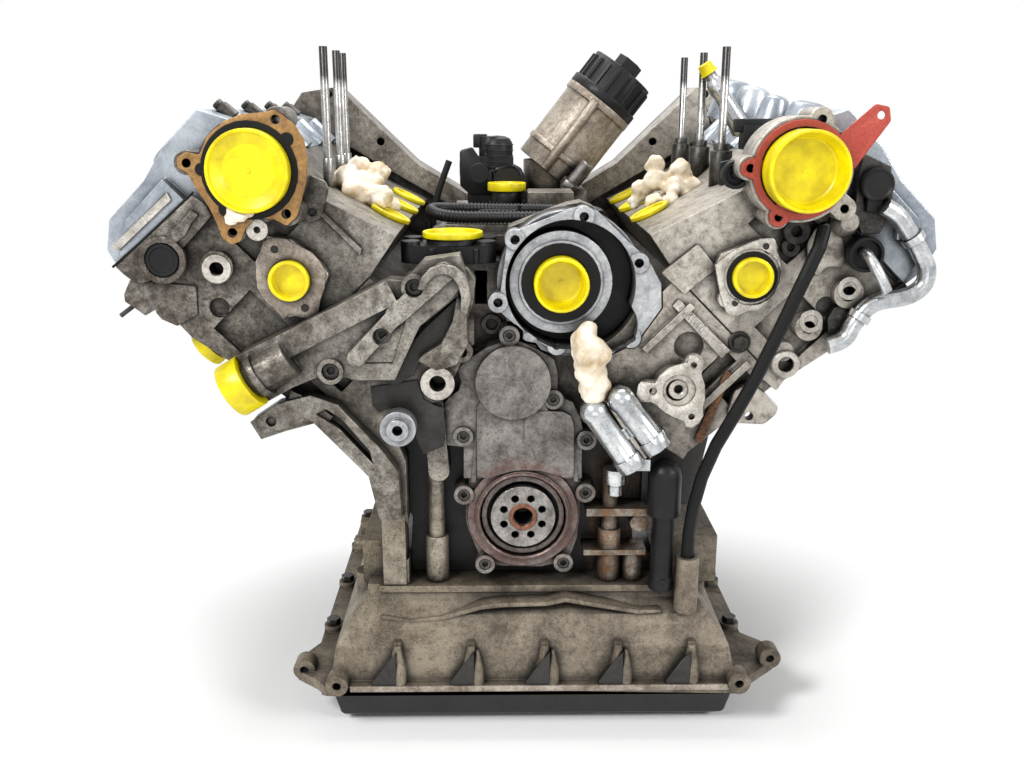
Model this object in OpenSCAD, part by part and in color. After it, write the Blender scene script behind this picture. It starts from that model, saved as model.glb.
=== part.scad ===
// Long engine: ninety degree V with three cylinders a side, seen from its damper end.
// X runs across the engine, Y along the crankshaft to the rear, Z up.
// The origin is the middle of the crankshaft flange's front face.

/* [Cylinders and crank] */
// bore of each cylinder
bore_d = 84.5; // [80:0.5:86]
// crankshaft stroke
stroke = 92.8; // [80:0.4:93]
// distance between neighbouring bores of a bank
bore_pitch = 90; // [90:1:96]
// how far the right bank's bores sit behind the left bank's
bank_stagger = 18.5; // [16:0.5:19]
// connecting rod length that sets the pistons' height
rod_len = 155; // [155:0.5:158]
// main journal diameter
main_d = 65; // [58:1:66]
// crank pin diameter
pin_d = 56; // [50:1:58]
// resting angle of the crankshaft
crank_rest = 20; // [0:5:90]

/* [Crank flange] */
// outside diameter of the front flange
flange_d = 55; // [52:0.5:56]
// pitch circle of its eight holes
flange_pcd = 35; // [34:0.5:38]
// hole diameter in the front flange
flange_hole_d = 6.4; // [5:0.2:7]

/* [Bank heights along the cylinder axis] */
// crank axis to the block's deck
deck_h = 231; // [231:0.5:236]
// head gasket thickness
gasket_t = 1.2; // [1:0.1:1.6]
// crank axis to the camshaft axes
cam_h = 352; // [350:1:356]
// half the distance between the two camshafts
cam_v = 36; // [35:0.5:37]
// height of the cam cover over the camshaft axes
cover_h = 55; // [50:1:60]
// wall thickness of the cam covers
cover_wall = 5; // [4:0.5:6]

/* [Length] */
// front of the block round the seal cover
case_front = 26; // [24:1:28]
// middle of the first main bearing
main_first = 48; // [47:1:52]
// rear face of block and heads
rear_y = 344; // [344:1:356]
// depth of the timing case
timing_depth = 42; // [42:1:46]
// thickness of the timing cover
timing_plate = 12; // [10:1:14]

/* [Pans] */
// crank axis down to the block's foot
foot_h = 62; // [60:1:64]
// crank axis down to the joint of the two pans
pan_joint = 146; // [140:1:150]
// crank axis down to the flat bottom
pan_base = 188; // [180:1:192]
// wall thickness of the pans
pan_wall = 5; // [4:0.5:6]

/* [Caps and rods] */
// outside diameter of the three large transport caps
big_cap_d = 61; // [58:1:62]
// outside diameter of the small transport caps
small_cap_d = 30; // [28:1:31]
// height of the long rods on each bank
rod_h = 95; // [85:1:100]
// diameter of the long rods
rod_d = 7; // [6:0.5:8]

/* [Fits] */
// radial gap of running fits
run_gap = 0.05; // [0.03:0.01:0.1]
// gap round chains and gears that stop short of meshing
free_gap = 1; // [0.8:0.1:1.5]

/* [Hidden] */

$fn = 48;
throw = stroke / 2;
bore_r = bore_d / 2;
main_r = main_d / 2;
pin_r = pin_d / 2;
main_half = 13;
bulk_half = 12;
pin_w = bank_stagger;
web_t = bore_pitch / 2 - main_half - pin_w;
mid_first = main_first + bore_pitch / 2;
mains = [for (i = [0:3]) main_first + i * bore_pitch];
mids = [for (i = [0:2]) mid_first + i * bore_pitch];
left_y = [for (y = mids) y - bank_stagger / 2];
right_y = [for (y = mids) y + bank_stagger / 2];
pin_fire = [0, 240, 120];
crown_h = 29;
skirt_h = 25;
crank_swing = 72;
bay_r = 80;
head_base = deck_h + gasket_t;
chain_y_right = rear_y + 7;
chain_y_left = rear_y + 18;
chain_y_main = rear_y + 29;
chain_w = 7;
case_end = rear_y + timing_depth;
bell_y = case_end + timing_plate;
idler_z = 120;
small_sprocket = 24;
seal_r = 37;
cover_face = 8;
front_y = 0;

// one bank's own frame: X away from the valley, Z up the cylinder axis
module bank(side) {
  mirror([side < 0 ? 1 : 0, 0, 0])
    rotate([0, 45, 0])
      children();
}
// a flat outline in X and Z carried along Y
module along(y0, y1) {
  translate([0, y1, 0])
    rotate([90, 0, 0])
      linear_extrude(y1 - y0)
        children();
}
// a round bar along Y
module bar(x, z, y0, y1, r) {
  translate([x, y1, z])
    rotate([90, 0, 0])
      cylinder(h = y1 - y0, r = r);
}
// a block between two corners
module slab(a, b) {
  translate(a)
    cube(b - a);
}
// a flat run with round ends between two points
module run2d(a, b, r) {
  d = b - a;
  l = norm(d);
  translate(a)
    circle(r);
  translate(b)
    circle(r);
  translate(a)
    rotate(atan2(d[1], d[0]))
      translate([0, 0.2 - r])
        square([l, 2 * r - 0.4]);
}
// the outside of a tube through a row of points
module sweep(p, r, n = 10) {
  m = len(p);
  dirs = [for (i = [0:m - 1]) let (a = p[max(i - 1, 0)], b = p[min(i + 1, m - 1)]) (b - a) / norm(b - a)];
  up = abs(dirs[0][1]) > 0.8 ? [0, 0, 1] : [0, 1, 0];
  rings = [for (i = [0:m - 1]) let (
      t = dirs[i],
      s0 = cross(t, up),
      s = s0 / norm(s0),
      w = cross(s, t)
    ) for (k = [0:n - 1]) p[i] + r * cos(360 * k / n) * s + r * sin(360 * k / n) * w];
  sides = [for (i = [0:m - 2]) for (k = [0:n - 1])
      [i * n + k, i * n + (k + 1) % n, (i + 1) * n + (k + 1) % n, (i + 1) * n + k]];
  ends = [[for (k = [0:n - 1]) n - 1 - k], [for (k = [0:n - 1]) (m - 1) * n + k]];
  polyhedron(points = rings, faces = concat(sides, ends), convexity = 6);
}
// toothed wheel outline
module teeth2d(count, r, h) {
  step = 360 / count;
  polygon([for (i = [0:count - 1]) for (k = [0:3])
    let (a = i * step + [-0.36, -0.2, 0.2, 0.36][k] * step, q = k == 1 || k == 2 ? r : r - h)
      [q * cos(a), q * sin(a)]]);
}
function flip(side, p) = [side * p[0], p[1]];
function bank_x(v, u) = (v + u) * cos(45);
function bank_z(v, u) = (u - v) * cos(45);
function pin_angle(side, i) = crank_rest + pin_fire[i] + (side < 0 ? 0 : 30);
function bank_angle(side) = side < 0 ? 135 : 45;
function piston_s(side, i) = let (a = pin_angle(side, i) - bank_angle(side))
  throw * cos(a) + sqrt(rod_len * rod_len - pow(throw * sin(a), 2));

// Block
deck_in = -58;
deck_out = 64;
mid_half = 66;
mid_top = 178;
block_half = [
  [0, -foot_h], [118, -foot_h], [118, -foot_h + 12], [98, -foot_h + 24], [96, -10], [138, 58],
  [bank_x(deck_out, deck_h), bank_z(deck_out, deck_h)],
  [bank_x(deck_in, deck_h), bank_z(deck_in, deck_h)], [58, 140], [0, 140]];

front_recess = [[-98, -foot_h - 1], [-98, 50], [-110, 82], [-84, 98], [-mid_half, 104], [-mid_half, mid_top],
  [mid_half, mid_top], [mid_half, 112], [100, 74], [150, 40], [150, -foot_h - 1]];
function both(half) = concat(half, [for (i = [len(half) - 2:-1:1]) [-half[i][0], half[i][1]]]);
module block_outline() {
  polygon(both(block_half));
}
module jacket_cut(ys) {
  difference() {
    for (y = ys)
      translate([0, y, deck_h - 95])
        cylinder(h = 100, r = bore_r + 11);
    for (y = ys)
      translate([0, y, deck_h - 100])
        cylinder(h = 110, r = bore_r + 5.5);
  }
}
module bank_cuts(side, ys) {
  bank(side) {
    for (y = ys)
      translate([0, y, 60])
        cylinder(h = deck_h, r = bore_r);
    jacket_cut(ys);
    for (i = [0:3])
      for (v = [-51, 51])
        translate([v, (side < 0 ? left_y[0] : right_y[0]) - bore_pitch / 2 + i * bore_pitch, deck_h - 40])
          cylinder(h = 50, r = 4.5);
  }
}
hub = [123.5, 115.9];
hub_lugs = [[136.5, 138], [100, 116], [137, 94]];
pump_mid = [37.5, 198.7];
nose_mid = [30, 200];
volute_r = 52;
pump_plate = [[48, 261], [37, 259], [-12, 240], [-15, 221], [-19, 192], [-26, 186], [-20, 178],
  [-6, 166], [4, 159], [26, 143], [71, 142], [92, 152], [111, 180], [110, 200], [98, 221],
  [84, 232], [58, 257]];
pump_holes = [[-20.6, 185], [-7, 235.2], [47.1, 253], [91.5, 216.5], [87, 155.6], [27.1, 149.9]];
pump_back = 42;
tower_top = 213;
thermo = [-58, 44];
module pump_clear(y0, gap) {
  // the space the pump housing takes out of the bank fronts
  along(y0, pump_back)
    translate(pump_mid)
      circle(volute_r + 7 + gap);
  along(y0, 15)
    union() {
      translate(pump_mid)
        scale(1.012)
          translate(-pump_mid)
            polygon(pump_plate);
      for (p = pump_holes)
        translate(p)
          circle(8.2 + gap);
    }
}
module tower() {
  along(pump_back, pump_back + 26)
    difference() {
      union() {
        polygon(pump_plate);
        polygon([[-70, 138], [66, 138], [66, tower_top], [-70, tower_top]]);
      }
      translate([-40, 176])
        square([10, 28]);
    }
}
module engine_block() {
  color("silver")
    difference() {
      union() {
        difference() {
          along(front_y, rear_y)
            block_outline();
          along(front_y - 1, case_front)
            polygon(front_recess);
        }
        tower();
        // left of the seal cover: ear, wing and the drilled lugs
        along(4, case_front)
          union() {
            run2d([-72, 112], [-58, 142], 10);
            run2d([-76, 112], [-71, 40], 9);
            polygon([[-66, 128], [-66, 168], [-40, 171], [-40, 150]]);
          }
        bar(-70.1, 118.8, -4, case_front, 13);
        // standing leg, posts and shelves each side of the cover
        slab([-120, -2, -foot_h], [-100, case_front, 4]);
        for (q = [[-74, 36, 7], [75, 40, 7], [95.5, -34, 9]])
          translate([q[0], 12, -foot_h])
            cylinder(h = foot_h + q[1], r = q[2]);
        for (q = [[-74, -20], [75, -14]])
          translate([q[0], 12, -foot_h])
            cylinder(h = foot_h + q[1], r = 10);
        for (q = [[-74, 12], [75, 12], [95.5, 12]])
          slab([q[0] - 3, 12, -foot_h], [q[0] + 3, case_front, -30]);
        slab([54, 0, 0], [106, case_front, 7]);
        slab([52, 0, -36], [106, case_front, -31]);
        // round boss with three lugs beside the bright pipes
        bar(hub[0], hub[1], -16, front_y + 1, 17);
        for (p = hub_lugs)
          along(-16, -8)
            run2d(hub, p, 7.5);
        bar(100, -8, 4, case_front, 8);
        // ribs of the right bank's front
        bank(1)
          for (v = [-34, 34])
            slab([v - 3, front_y - 5, 172], [v + 3, front_y, deck_h - 6]);
      }
      pump_clear(-8, 0.4);
      // room for the crank, bay by bay
      for (y = mids)
        bar(0, 0, y - bore_pitch / 2 + bulk_half, y + bore_pitch / 2 - bulk_half, bay_r);
      slab([-bay_r, case_front + 8, -foot_h - 1], [bay_r, rear_y - 8, 0]);
      bar(0, 0, case_front - 1, rear_y + 1, main_r + run_gap);
      bank_cuts(-1, left_y);
      bank_cuts(1, right_y);
      // cast pockets in the bank fronts
      for (side = [-1, 1])
        bank(side) {
          translate([-10, -6, 200])
            rotate([-90, 0, 0])
              cylinder(h = 14, r = 12);
          slab([14, -6, 184], [27, 10, deck_h - 12]);
          slab([38, -6, 190], [54, 12, deck_h - 12]);
        }
      bar(hub[0], hub[1], -17, -6, 9);
      for (p = hub_lugs)
        bar(p[0], p[1], -17, -7, 3);
      bar(-70.1, 118.8, -6, 20, 6.5);
      bar(-58, 145, -6, 16, 4);
      // side pockets under the banks
      for (side = [-1, 1])
        for (i = [0:3])
          bank(side)
            translate([deck_out - 7, 40 + i * 78, 132])
              cube([20, 52, 40]);
      // valley drains
      for (i = [0:2])
        translate([0, mids[i], 60])
          cylinder(h = 100, r = 9);
    }
}

// Main bearing caps
cap_half = 74;
module main_caps() {
  color("dimgray")
    for (y = mains)
      difference() {
        along(y - bulk_half + 0.5, y + bulk_half - 0.5)
          difference() {
            polygon([[-cap_half, 0], [-cap_half, -22], [-52, -48], [52, -48], [cap_half, -22], [cap_half, 0]]);
            circle(main_r + run_gap);
          }
        for (x = [-46, 46])
          translate([x, y, -60])
            cylinder(h = 70, r = 5);
      }
}
module main_cap_bolts() {
  color("gray")
    for (y = mains)
      for (x = [-46, 46])
        translate([x, y, -58]) {
          cylinder(h = 10, r = 8.5, $fn = 6);
          translate([0, 0, 5])
            cylinder(h = 53, r = 4.9);
        }
}

// Crankshaft
module web2d(a, b) {
  circle(main_r + 6);
  for (q = a)
    rotate(q)
      run2d([0, 0], [throw, 0], pin_r + 2);
  rotate(b + 180)
    intersection() {
      circle(crank_swing);
      translate([2, -62])
        square([80, 124]);
    }
}
module crankshaft() {
  color("lightgray")
    difference() {
      union() {
        bar(0, 0, 0, 10, flange_d / 2);
        bar(0, 0, 9, main_first, flange_d / 2);
        for (y = mains)
          bar(0, 0, y - main_half, y + main_half, main_r);
        for (i = [0:2]) {
          l = pin_angle(-1, i);
          r = pin_angle(1, i);
          along(mids[i] - pin_w - web_t, mids[i] - pin_w)
            web2d([l], l);
          along(mids[i] + pin_w, mids[i] + pin_w + web_t)
            web2d([r], r);
          along(mids[i] - pin_w, mids[i])
            translate([throw * cos(l), throw * sin(l)])
              circle(pin_r);
          along(mids[i], mids[i] + pin_w)
            translate([throw * cos(r), throw * sin(r)])
              circle(pin_r);
        }
        bar(0, 0, mains[3], case_end, 17);
        bar(0, 0, mains[3], chain_y_main - 1, 21);
        bar(0, 0, chain_y_main + chain_w + 1, bell_y + 4, 40);
      }
      for (i = [0:7])
        rotate([0, i * 45 + 22.5, 0])
          translate([flange_pcd / 2, -1, 0])
            rotate([-90, 0, 0])
              cylinder(h = 16, r = flange_hole_d / 2);
      // stepped pilot bore
      bar(0, 0, -1, 2, 10.5);
      bar(0, 0, -1, 30, 7.9);
      for (i = [0:7])
        rotate([0, i * 45, 0])
          translate([29, bell_y - 14, 0])
            rotate([-90, 0, 0])
              cylinder(h = 20, r = 4.5);
      bar(0, 0, bell_y - 10, bell_y + 5, 15);
    }
}
module crank_sprocket() {
  color("gray")
    along(chain_y_main, chain_y_main + chain_w)
      difference() {
        teeth2d(24, small_sprocket, 3);
        circle(17);
      }
}

// Pistons
module piston(side, i) {
  y = side < 0 ? left_y[i] : right_y[i];
  s = piston_s(side, i);
  r = bore_r - run_gap;
  color("gainsboro")
    bank(side)
      translate([0, y, s])
        difference() {
          translate([0, 0, -skirt_h])
            cylinder(h = skirt_h + crown_h, r = r);
          // three ring grooves
          for (z = [crown_h - 10, crown_h - 16, crown_h - 22])
            translate([0, 0, z])
              difference() {
                cylinder(h = 2.4, r = r + 2);
                cylinder(h = 2.4, r = r - 3.5);
              }
          // hollow under the crown
          translate([0, 0, -skirt_h - 1])
            cylinder(h = skirt_h + crown_h - 9, r = r - 6);
          // bowl in the crown
          translate([0, 0, crown_h - 5])
            rotate_extrude()
              polygon([[0, 3], [5, 2], [14, -2], [24, -2], [26, 2], [25, 6], [0, 6]]);
          // pin bore across the skirt, along the crank
          rotate([90, 0, 0])
            translate([0, 0, -60])
              cylinder(h = 120, r = 14);
          // cut-away skirt sides
          for (k = [-1, 1])
            translate([-r, k * (r - 4) - 4, -skirt_h - 1])
              cube([2 * r, 8, skirt_h - 14]);
        }
}
module piston_l1() { piston(-1, 0); }
module piston_l2() { piston(-1, 1); }
module piston_l3() { piston(-1, 2); }
module piston_r1() { piston(1, 0); }
module piston_r2() { piston(1, 1); }
module piston_r3() { piston(1, 2); }

// Oil pump and pickup inside the pans
module oil_pump() {
  color("silver")
    difference() {
      union() {
        slab([-44, mains[0] - 8, -116], [44, mains[1] + 8, -82]);
        for (y = [mains[0], mains[1]])
          for (x = [-20, 20])
            translate([x, y, -90])
              cylinder(h = 42, r = 7);
        translate([0, mains[0] + 30, -124])
          cylinder(h = 20, r = 24);
      }
      translate([-16, mains[0] + 24, -130])
        cylinder(h = 22, r = 7.1);
    }
}
module pickup_pipe() {
  color("dimgray")
    difference() {
      union() {
        translate([-16, mains[0] + 24, -168])
          cylinder(h = 60, r = 7);
        translate([-16, mains[0] + 24, -180])
          cylinder(h = 14, r = 28);
      }
      translate([-16, mains[0] + 24, -182])
        cylinder(h = 12, r = 25);
    }
}

// Pans
pan_top_l = -134;
pan_top_r = 150;
pan_mid_l = -166;
pan_mid_r = 184;
pan_front = -34;
pan_rear = 352;
pan_flange_t = 9;
pan_corner_l = -196;
pan_corner_r = 222;
module pan_body(in) {
  w = in ? pan_wall : 0;
  z0 = -pan_joint - (in ? 1 : 0);
  z1 = -foot_h + (in ? 1 : 0);
  // the inside stays narrow at the top, so the casting has a shelf the block stands on
  tl = in ? -96 : pan_top_l;
  tr = in ? 96 : pan_top_r;
  intersection() {
    along(-60, 400)
      polygon([[pan_mid_l + w, z0], [pan_mid_r - w, z0], [pan_mid_r - 8 - w, -108], [pan_mid_r - 24 - w, -84],
        [tr, in ? -80 : -72], [tr, z1], [tl, z1], [tl, in ? -80 : -72], [pan_mid_l + 20 + w, -84],
        [pan_mid_l + 6 + w, -108]]);
    translate([-260, 0, 0])
      rotate([90, 0, 90])
        linear_extrude(520)
          polygon([[pan_front + 2 + w, z0], [pan_rear - w, z0], [pan_rear - w, z1], [(in ? case_front + 4 : 0), z1],
            [(in ? case_front + 4 : -2), -74], [-14 + w, -84], [pan_front + 8 + w, -108]]);
  }
}
module pan_flange() {
  // front edge follows the slanting corners of the casting
  translate([0, 0, -pan_joint])
    linear_extrude(pan_flange_t)
      polygon([[-168, pan_front - 6], [186, pan_front - 6], [194, pan_front + 6], [pan_corner_r, -2],
        [pan_corner_r, 30], [204, 48], [204, pan_rear], [-184, pan_rear], [-184, 34],
        [pan_corner_l, 12], [pan_corner_l, -14], [-176, pan_front + 4]]);
}
flange_holes = [[-176, 60], [-176, 150], [-176, 240], [-176, 320], [196, 60], [196, 150], [196, 240], [196, 320]];
pan_lugs = [[-158, -pan_joint + 10.2, pan_front - 8], [183, -pan_joint + 10.2, pan_front - 8],
  [217, -pan_joint + 15, -10], [-190, -pan_joint + 10.2, -16]];
module upper_pan() {
  color("darkgray")
    difference() {
      union() {
        pan_body(false);
        pan_flange();
        // low rim along the block's foot, and the raised shoulder on the right
        slab([-124, -4, -foot_h - 6], [126, 6, -foot_h]);
        slab([126, 14, -foot_h - 6], [170, 92, -24]);
        slab([-140, 20, -foot_h - 6], [-122, 110, -30]);
        for (y = [44, 84])
          translate([-150, y, -44])
            rotate([0, 90, 0])
              cylinder(h = 20, r = 8);
        // socket of the guide tube
        translate([139, -14, -80])
          cylinder(h = 50, r = 10);
        // corner lugs with holes facing the front
        for (p = pan_lugs)
          bar(p[0], p[1], p[2], p[2] + 16, 9.5);
        // five ribs with round tops on the sloping front
        for (i = [0:4]) {
          x = -107 + i * 62.5;
          translate([x, pan_front + 4, -pan_joint])
            cylinder(h = 22, r = 7);
          translate([x, pan_front + 4, -pan_joint + 22])
            cylinder(h = 20, r1 = 7, r2 = 3);
          slab([x - 3, pan_front + 4, -pan_joint + 4], [x + 3, 0, -102]);
        }
        // bosses at the flange holes
        for (p = flange_holes)
          translate([p[0], p[1], -pan_joint])
            cylinder(h = 14, r = 9);
        // bell end
        along(pan_rear - 10, pan_rear)
          polygon([[-176, -pan_joint], [196, -pan_joint], [170, -foot_h], [-150, -foot_h]]);
        // shelf bosses each side
        for (x = [pan_top_l - 4, pan_top_r + 4])
          for (y = [30, 130, 230])
            translate([x, y, -98])
              cylinder(h = 36, r = 10);
      }
      pan_body(true);
      for (p = flange_holes)
        translate([p[0], p[1], -pan_joint - 1])
          cylinder(h = 20, r = 4);
      for (p = pan_lugs)
        bar(p[0], p[1], p[2] - 1, p[2] + 17, 3.6);
      translate([139, -14, -44])
        cylinder(h = 20, r = 5.6);
    }
}
module lower_pan() {
  color("black")
    difference() {
      union() {
        translate([0, 0, -pan_joint - 3])
          linear_extrude(3)
            polygon([[-172, pan_front], [190, pan_front], [204, 4], [200, pan_rear - 2],
              [-180, pan_rear - 2], [-186, 4]]);
        intersection() {
          along(-60, 400)
            polygon([[-166, -pan_joint - 2], [184, -pan_joint - 2], [178, -pan_base + 10], [166, -pan_base],
              [-150, -pan_base], [-160, -pan_base + 10]]);
          translate([-260, 0, 0])
            rotate([90, 0, 90])
              linear_extrude(520)
                polygon([[pan_front + 12, -pan_joint - 2], [pan_rear - 42, -pan_joint - 2],
                  [pan_rear - 48, -pan_base + 8], [pan_rear - 60, -pan_base], [pan_front + 30, -pan_base],
                  [pan_front + 20, -pan_base + 8]]);
        }
      }
      intersection() {
        along(-60, 400)
          polygon([[-162, -pan_joint + 1], [180, -pan_joint + 1], [174, -pan_base + 11], [164, -pan_base + 2],
            [-148, -pan_base + 2], [-156, -pan_base + 11]]);
        slab([-250, pan_front + 32, -pan_base + 2], [250, pan_rear - 62, -pan_joint + 1]);
      }
      for (p = flange_holes)
        translate([p[0], p[1], -pan_joint - 4])
          cylinder(h = 6, r = 4);
    }
}
module pan_bolts() {
  color("gray")
    for (p = flange_holes)
      translate([p[0], p[1], -pan_joint - 3]) {
        translate([0, 0, 17])
          cylinder(h = 6, r = 6.5, $fn = 6);
        translate([0, 0, 0.5])
          cylinder(h = 18, r = 3.9);
      }
}

// Front seal cover
seal_outline = [[-46, 128], [-40, 97], [-46, 64], [-46, 29], [-46, 8], [-44, -22], [-38, -38],
  [-32, -46], [-19, -49], [16, -50], [32, -46], [42, -38], [47, -22], [49, 10], [50, 55], [48, 78],
  [39, 97], [30, 108], [20, 133], [10, 148], [-11, 152], [-30, 147]];
seal_bosses = [[-11.4, 157], [24.9, 103], [53, 67.5], [53, 20.5], [35, -44], [-32.5, -45], [-50, 19], [-50, 71]];
module seal_cover() {
  color("silver")
    difference() {
      union() {
        along(cover_face, case_front)
          union() {
            polygon(seal_outline);
            circle(49);
          }
        for (p = seal_bosses)
          bar(p[0], p[1], 2, case_front, 8.5);
        // raised round disc and the step it stands on
        bar(-8.4, 118.5, -3, cover_face + 1, 31);
        // round collar of the seal
        bar(0, 0, 4, cover_face + 1, 47);
        bar(0, 0, 1, cover_face + 1, 40.5);
        // ribs up from the collar
        along(4, cover_face + 1)
          union() {
            polygon([[-44, 30], [-40, 30], [-34, 96], [-38, 96]]);
            polygon([[43, 30], [47, 30], [42, 78], [38, 78]]);
          }
        along(3, cover_face + 1)
          polygon([[-30, 40], [30, 40], [20, 92], [-36, 92]]);
      }
      bar(0, 0, -2, case_front + 1, seal_r);
      for (p = seal_bosses)
        bar(p[0], p[1], 0, case_front + 1, 3.4);
      for (p = seal_bosses)
        bar(p[0], p[1], 1, 6, 5.2);
      // hollow towards the block
      along(case_front - 12, case_front + 1)
        polygon([[-36, 46], [40, 46], [38, 74], [14, 124], [-26, 138], [-32, 110]]);
    }
}
module socket_screw(p, y0, y1, y2, r, shank) {
  difference() {
    union() {
      bar(p[0], p[1], y0, y1, r);
      bar(p[0], p[1], y1 - 1, y2, shank);
    }
    bar(p[0], p[1], y0 - 1, y0 + 3, r / 2);
  }
}
module socket_screws() {
  color("dimgray")
    union() {
      for (p = seal_bosses)
        socket_screw(p, 2.6, 6, case_front, 5, 3.3);
      for (p = arm_bolts)
        socket_screw(p, arm_front + 4, arm_top - 8, arm_top, 6.8, 3.5);
    }
}
module crank_seals() {
  color("black")
    union() {
      difference() {
        union() {
          bar(0, 0, 11, 20, seal_r);
          bar(0, 0, 9, 12, seal_r - 1);
        }
        bar(0, 0, 8, 21, flange_d / 2 + run_gap);
        bar(0, 0, 8, 10.5, seal_r - 5);
      }
      difference() {
        bar(0, 0, case_end + 1, bell_y - 1, 52);
        bar(0, 0, case_end, bell_y + 1, 40 + run_gap);
      }
    }
}

// Coolant pump housing in front of the valley
nose_bore = 19;
nose_floor = 20;
module pump_housing() {
  color("silver")
    difference() {
      union() {
        difference() {
          union() {
            along(front_y, 9)
              polygon(pump_plate);
            along(6, pump_back)
              translate(pump_mid)
                circle(volute_r + 7);
            for (p = pump_holes)
              bar(p[0], p[1], front_y - 2, 14, 8.2);
          }
          along(front_y - 3, pump_back - 8)
            union() {
              translate(pump_mid)
                circle(volute_r);
              run2d(pump_mid + [24, -16], [70, 166], 22);
            }
        }
        bar(nose_mid[0], nose_mid[1], 6, pump_back, 41.5);
        bar(nose_mid[0], nose_mid[1], 4, 8, 34);
      }
      bar(nose_mid[0], nose_mid[1], 3, nose_floor, 31);
      bar(nose_mid[0], nose_mid[1], -5, pump_back + 1, nose_bore);
      for (p = pump_holes)
        bar(p[0], p[1], front_y - 3, 15, 3.6);
      // room for the seal cover's top
      along(-1, pump_back)
        union() {
          polygon([for (q = seal_outline) [q[0] * 1.02, q[1] + 2]]);
          translate(seal_bosses[0])
            circle(11);
        }
    }
}
module cup(x, z, y0, y1, r, neck_y, neck_r) {
  // a cap with its open side to the front and a neck plugged in behind
  difference() {
    union() {
      bar(x, z, y0, y1, r);
      bar(x, z, y1 - 1, neck_y, neck_r);
    }
    bar(x, z, y0 - 1, y1 - 3, r - 3);
  }
}
module pump_cap() {
  color("yellow")
    cup(nose_mid[0], nose_mid[1], -12, nose_floor, 25, pump_back - 2, nose_bore - 0.1);
}

// Gaskets, heads and cam covers
head_outline = [[-60, head_base], [-98, head_base + 7], [-73, 312], [-72, cam_h], [74, cam_h], [78, 300],
  [70, 256], [66, head_base]];
module bank_gasket(side, ys) {
  color("dimgray")
    bank(side)
      difference() {
        translate([deck_in + 1, front_y + 2, deck_h])
          cube([deck_out - deck_in - 2, rear_y - front_y - 4, gasket_t]);
        for (y = ys)
          translate([0, y, deck_h - 1])
            cylinder(h = 4, r = bore_r + 0.5);
      }
}
module head_gaskets() {
  bank_gasket(-1, left_y);
  bank_gasket(1, right_y);
}

gear_y = rear_y - 20;
gear_w = 9;
gear_r = cam_v - free_gap;
journal_r = 13;
module cam_room(y0, y1, ys) {
  // troughs between the bearing walls, for both camshafts
  for (v = [-cam_v, cam_v])
    for (i = [0:2])
      slab([v - 25, ys[i] - bore_pitch / 2 + 8, cam_h - 26], [v + 25, ys[i] + bore_pitch / 2 - 8, cam_h + 26]);
  for (v = [-cam_v, cam_v])
    translate([v, gear_y + gear_w + 1.5, cam_h])
      rotate([90, 0, 0])
        cylinder(h = gear_w + 3, r = gear_r + 1.2);
  for (v = [-cam_v, cam_v])
    bar(v, cam_h, y0, v < 0 ? y1 : y1 - 5, journal_r + run_gap);
}
module head(side, ys) {
  bank(side)
    difference() {
      along(front_y, rear_y)
        polygon(head_outline);
      cam_room(front_y + 12, rear_y + 1, ys);
      for (y = ys) {
        // shallow chamber, ports and the injector bore
        translate([0, y, head_base - 1])
          cylinder(h = 3, r = bore_r - 3);
        for (k = [-18, 18]) {
          translate([-18, y + k, head_base - 1])
            cylinder(h = 22, r = 13);
          translate([18, y + k, head_base - 1])
            cylinder(h = 22, r = 12);
        }
        translate([-18, y, head_base + 18])
          rotate([0, -87, 0])
            cylinder(h = 120, r = 15);
        translate([18, y, head_base + 20])
          rotate([0, 70, 0])
            cylinder(h = 120, r = 15);
        translate([0, y, head_base - 1])
          cylinder(h = 200, r = 5);
      }
      // waist along the exhaust side, between the port bosses
      for (i = [0:2])
        slab([66, ys[i] + 27, 262], [90, ys[i] + 63, 330]);
      // pocket in the front face
      slab([16, front_y - 1, head_base + 16], [60, front_y + 7, head_base + 60]);
      translate([44, front_y + 6, 300])
        rotate([90, 0, 0])
          cylinder(h = 8, r = 8);
      slab([-50, front_y - 1, 300], [-4, front_y + 6, 338]);
    }
}
port_l = [-203.2, 290.6];
port_r = [205.5, 290.7];
port_l_ears = [[-250, 296.2], [-181.6, 327.4], [-176.4, 259.1], [-218.8, 246]];
port_r_ears = [[166.9, 291.8], [190, 256], [240, 262], [218, 327]];
port_face = -34;
module port_shape(mid, ears, r) {
  translate(mid)
    circle(r);
  for (e = ears)
    run2d(mid, e, 9);
}
module port_neck(mid, ears) {
  along(port_face, front_y)
    difference() {
      port_shape(mid, ears, 39);
      translate(mid)
        circle(30);
      for (e = ears)
        translate(e)
          circle(3.2);
    }
}
flange_l = [-183.6, 205.1];
flange_r = [179.6, 206.8];
flange_l_holes = [[-196, 228], [-169.5, 184.5]];
flange_r_holes = [[191.6, 229], [161, 189]];
module head_left() {
  color("silver")
    difference() {
      union() {
        head(-1, left_y);
        port_neck(port_l, port_l_ears);
        bar(-241, 214.7, -8, front_y, 13);
      }
      bar(port_l[0], port_l[1], port_face - 1, 12, 30);
      bar(flange_l[0], flange_l[1], -1, 14, 14);
      bar(-241, 214.7, -9, 10, 6);
    }
}
module head_right() {
  color("silver")
    difference() {
      union() {
        head(1, right_y);
        port_neck(port_r, port_r_ears);
        bar(227.8, 166, -10, front_y + 8, 11);
        bar(209.2, 146, -10, front_y + 8, 8);
        bar(257.6, 193, -10, front_y + 8, 12);
      }
      bar(port_r[0], port_r[1], port_face - 1, 12, 30);
      bar(flange_r[0], flange_r[1], -1, 14, 14);
      bar(227.8, 166, -11, 10, 5);
      bar(257.6, 193, -11, 10, 6);
    }
}
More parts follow.
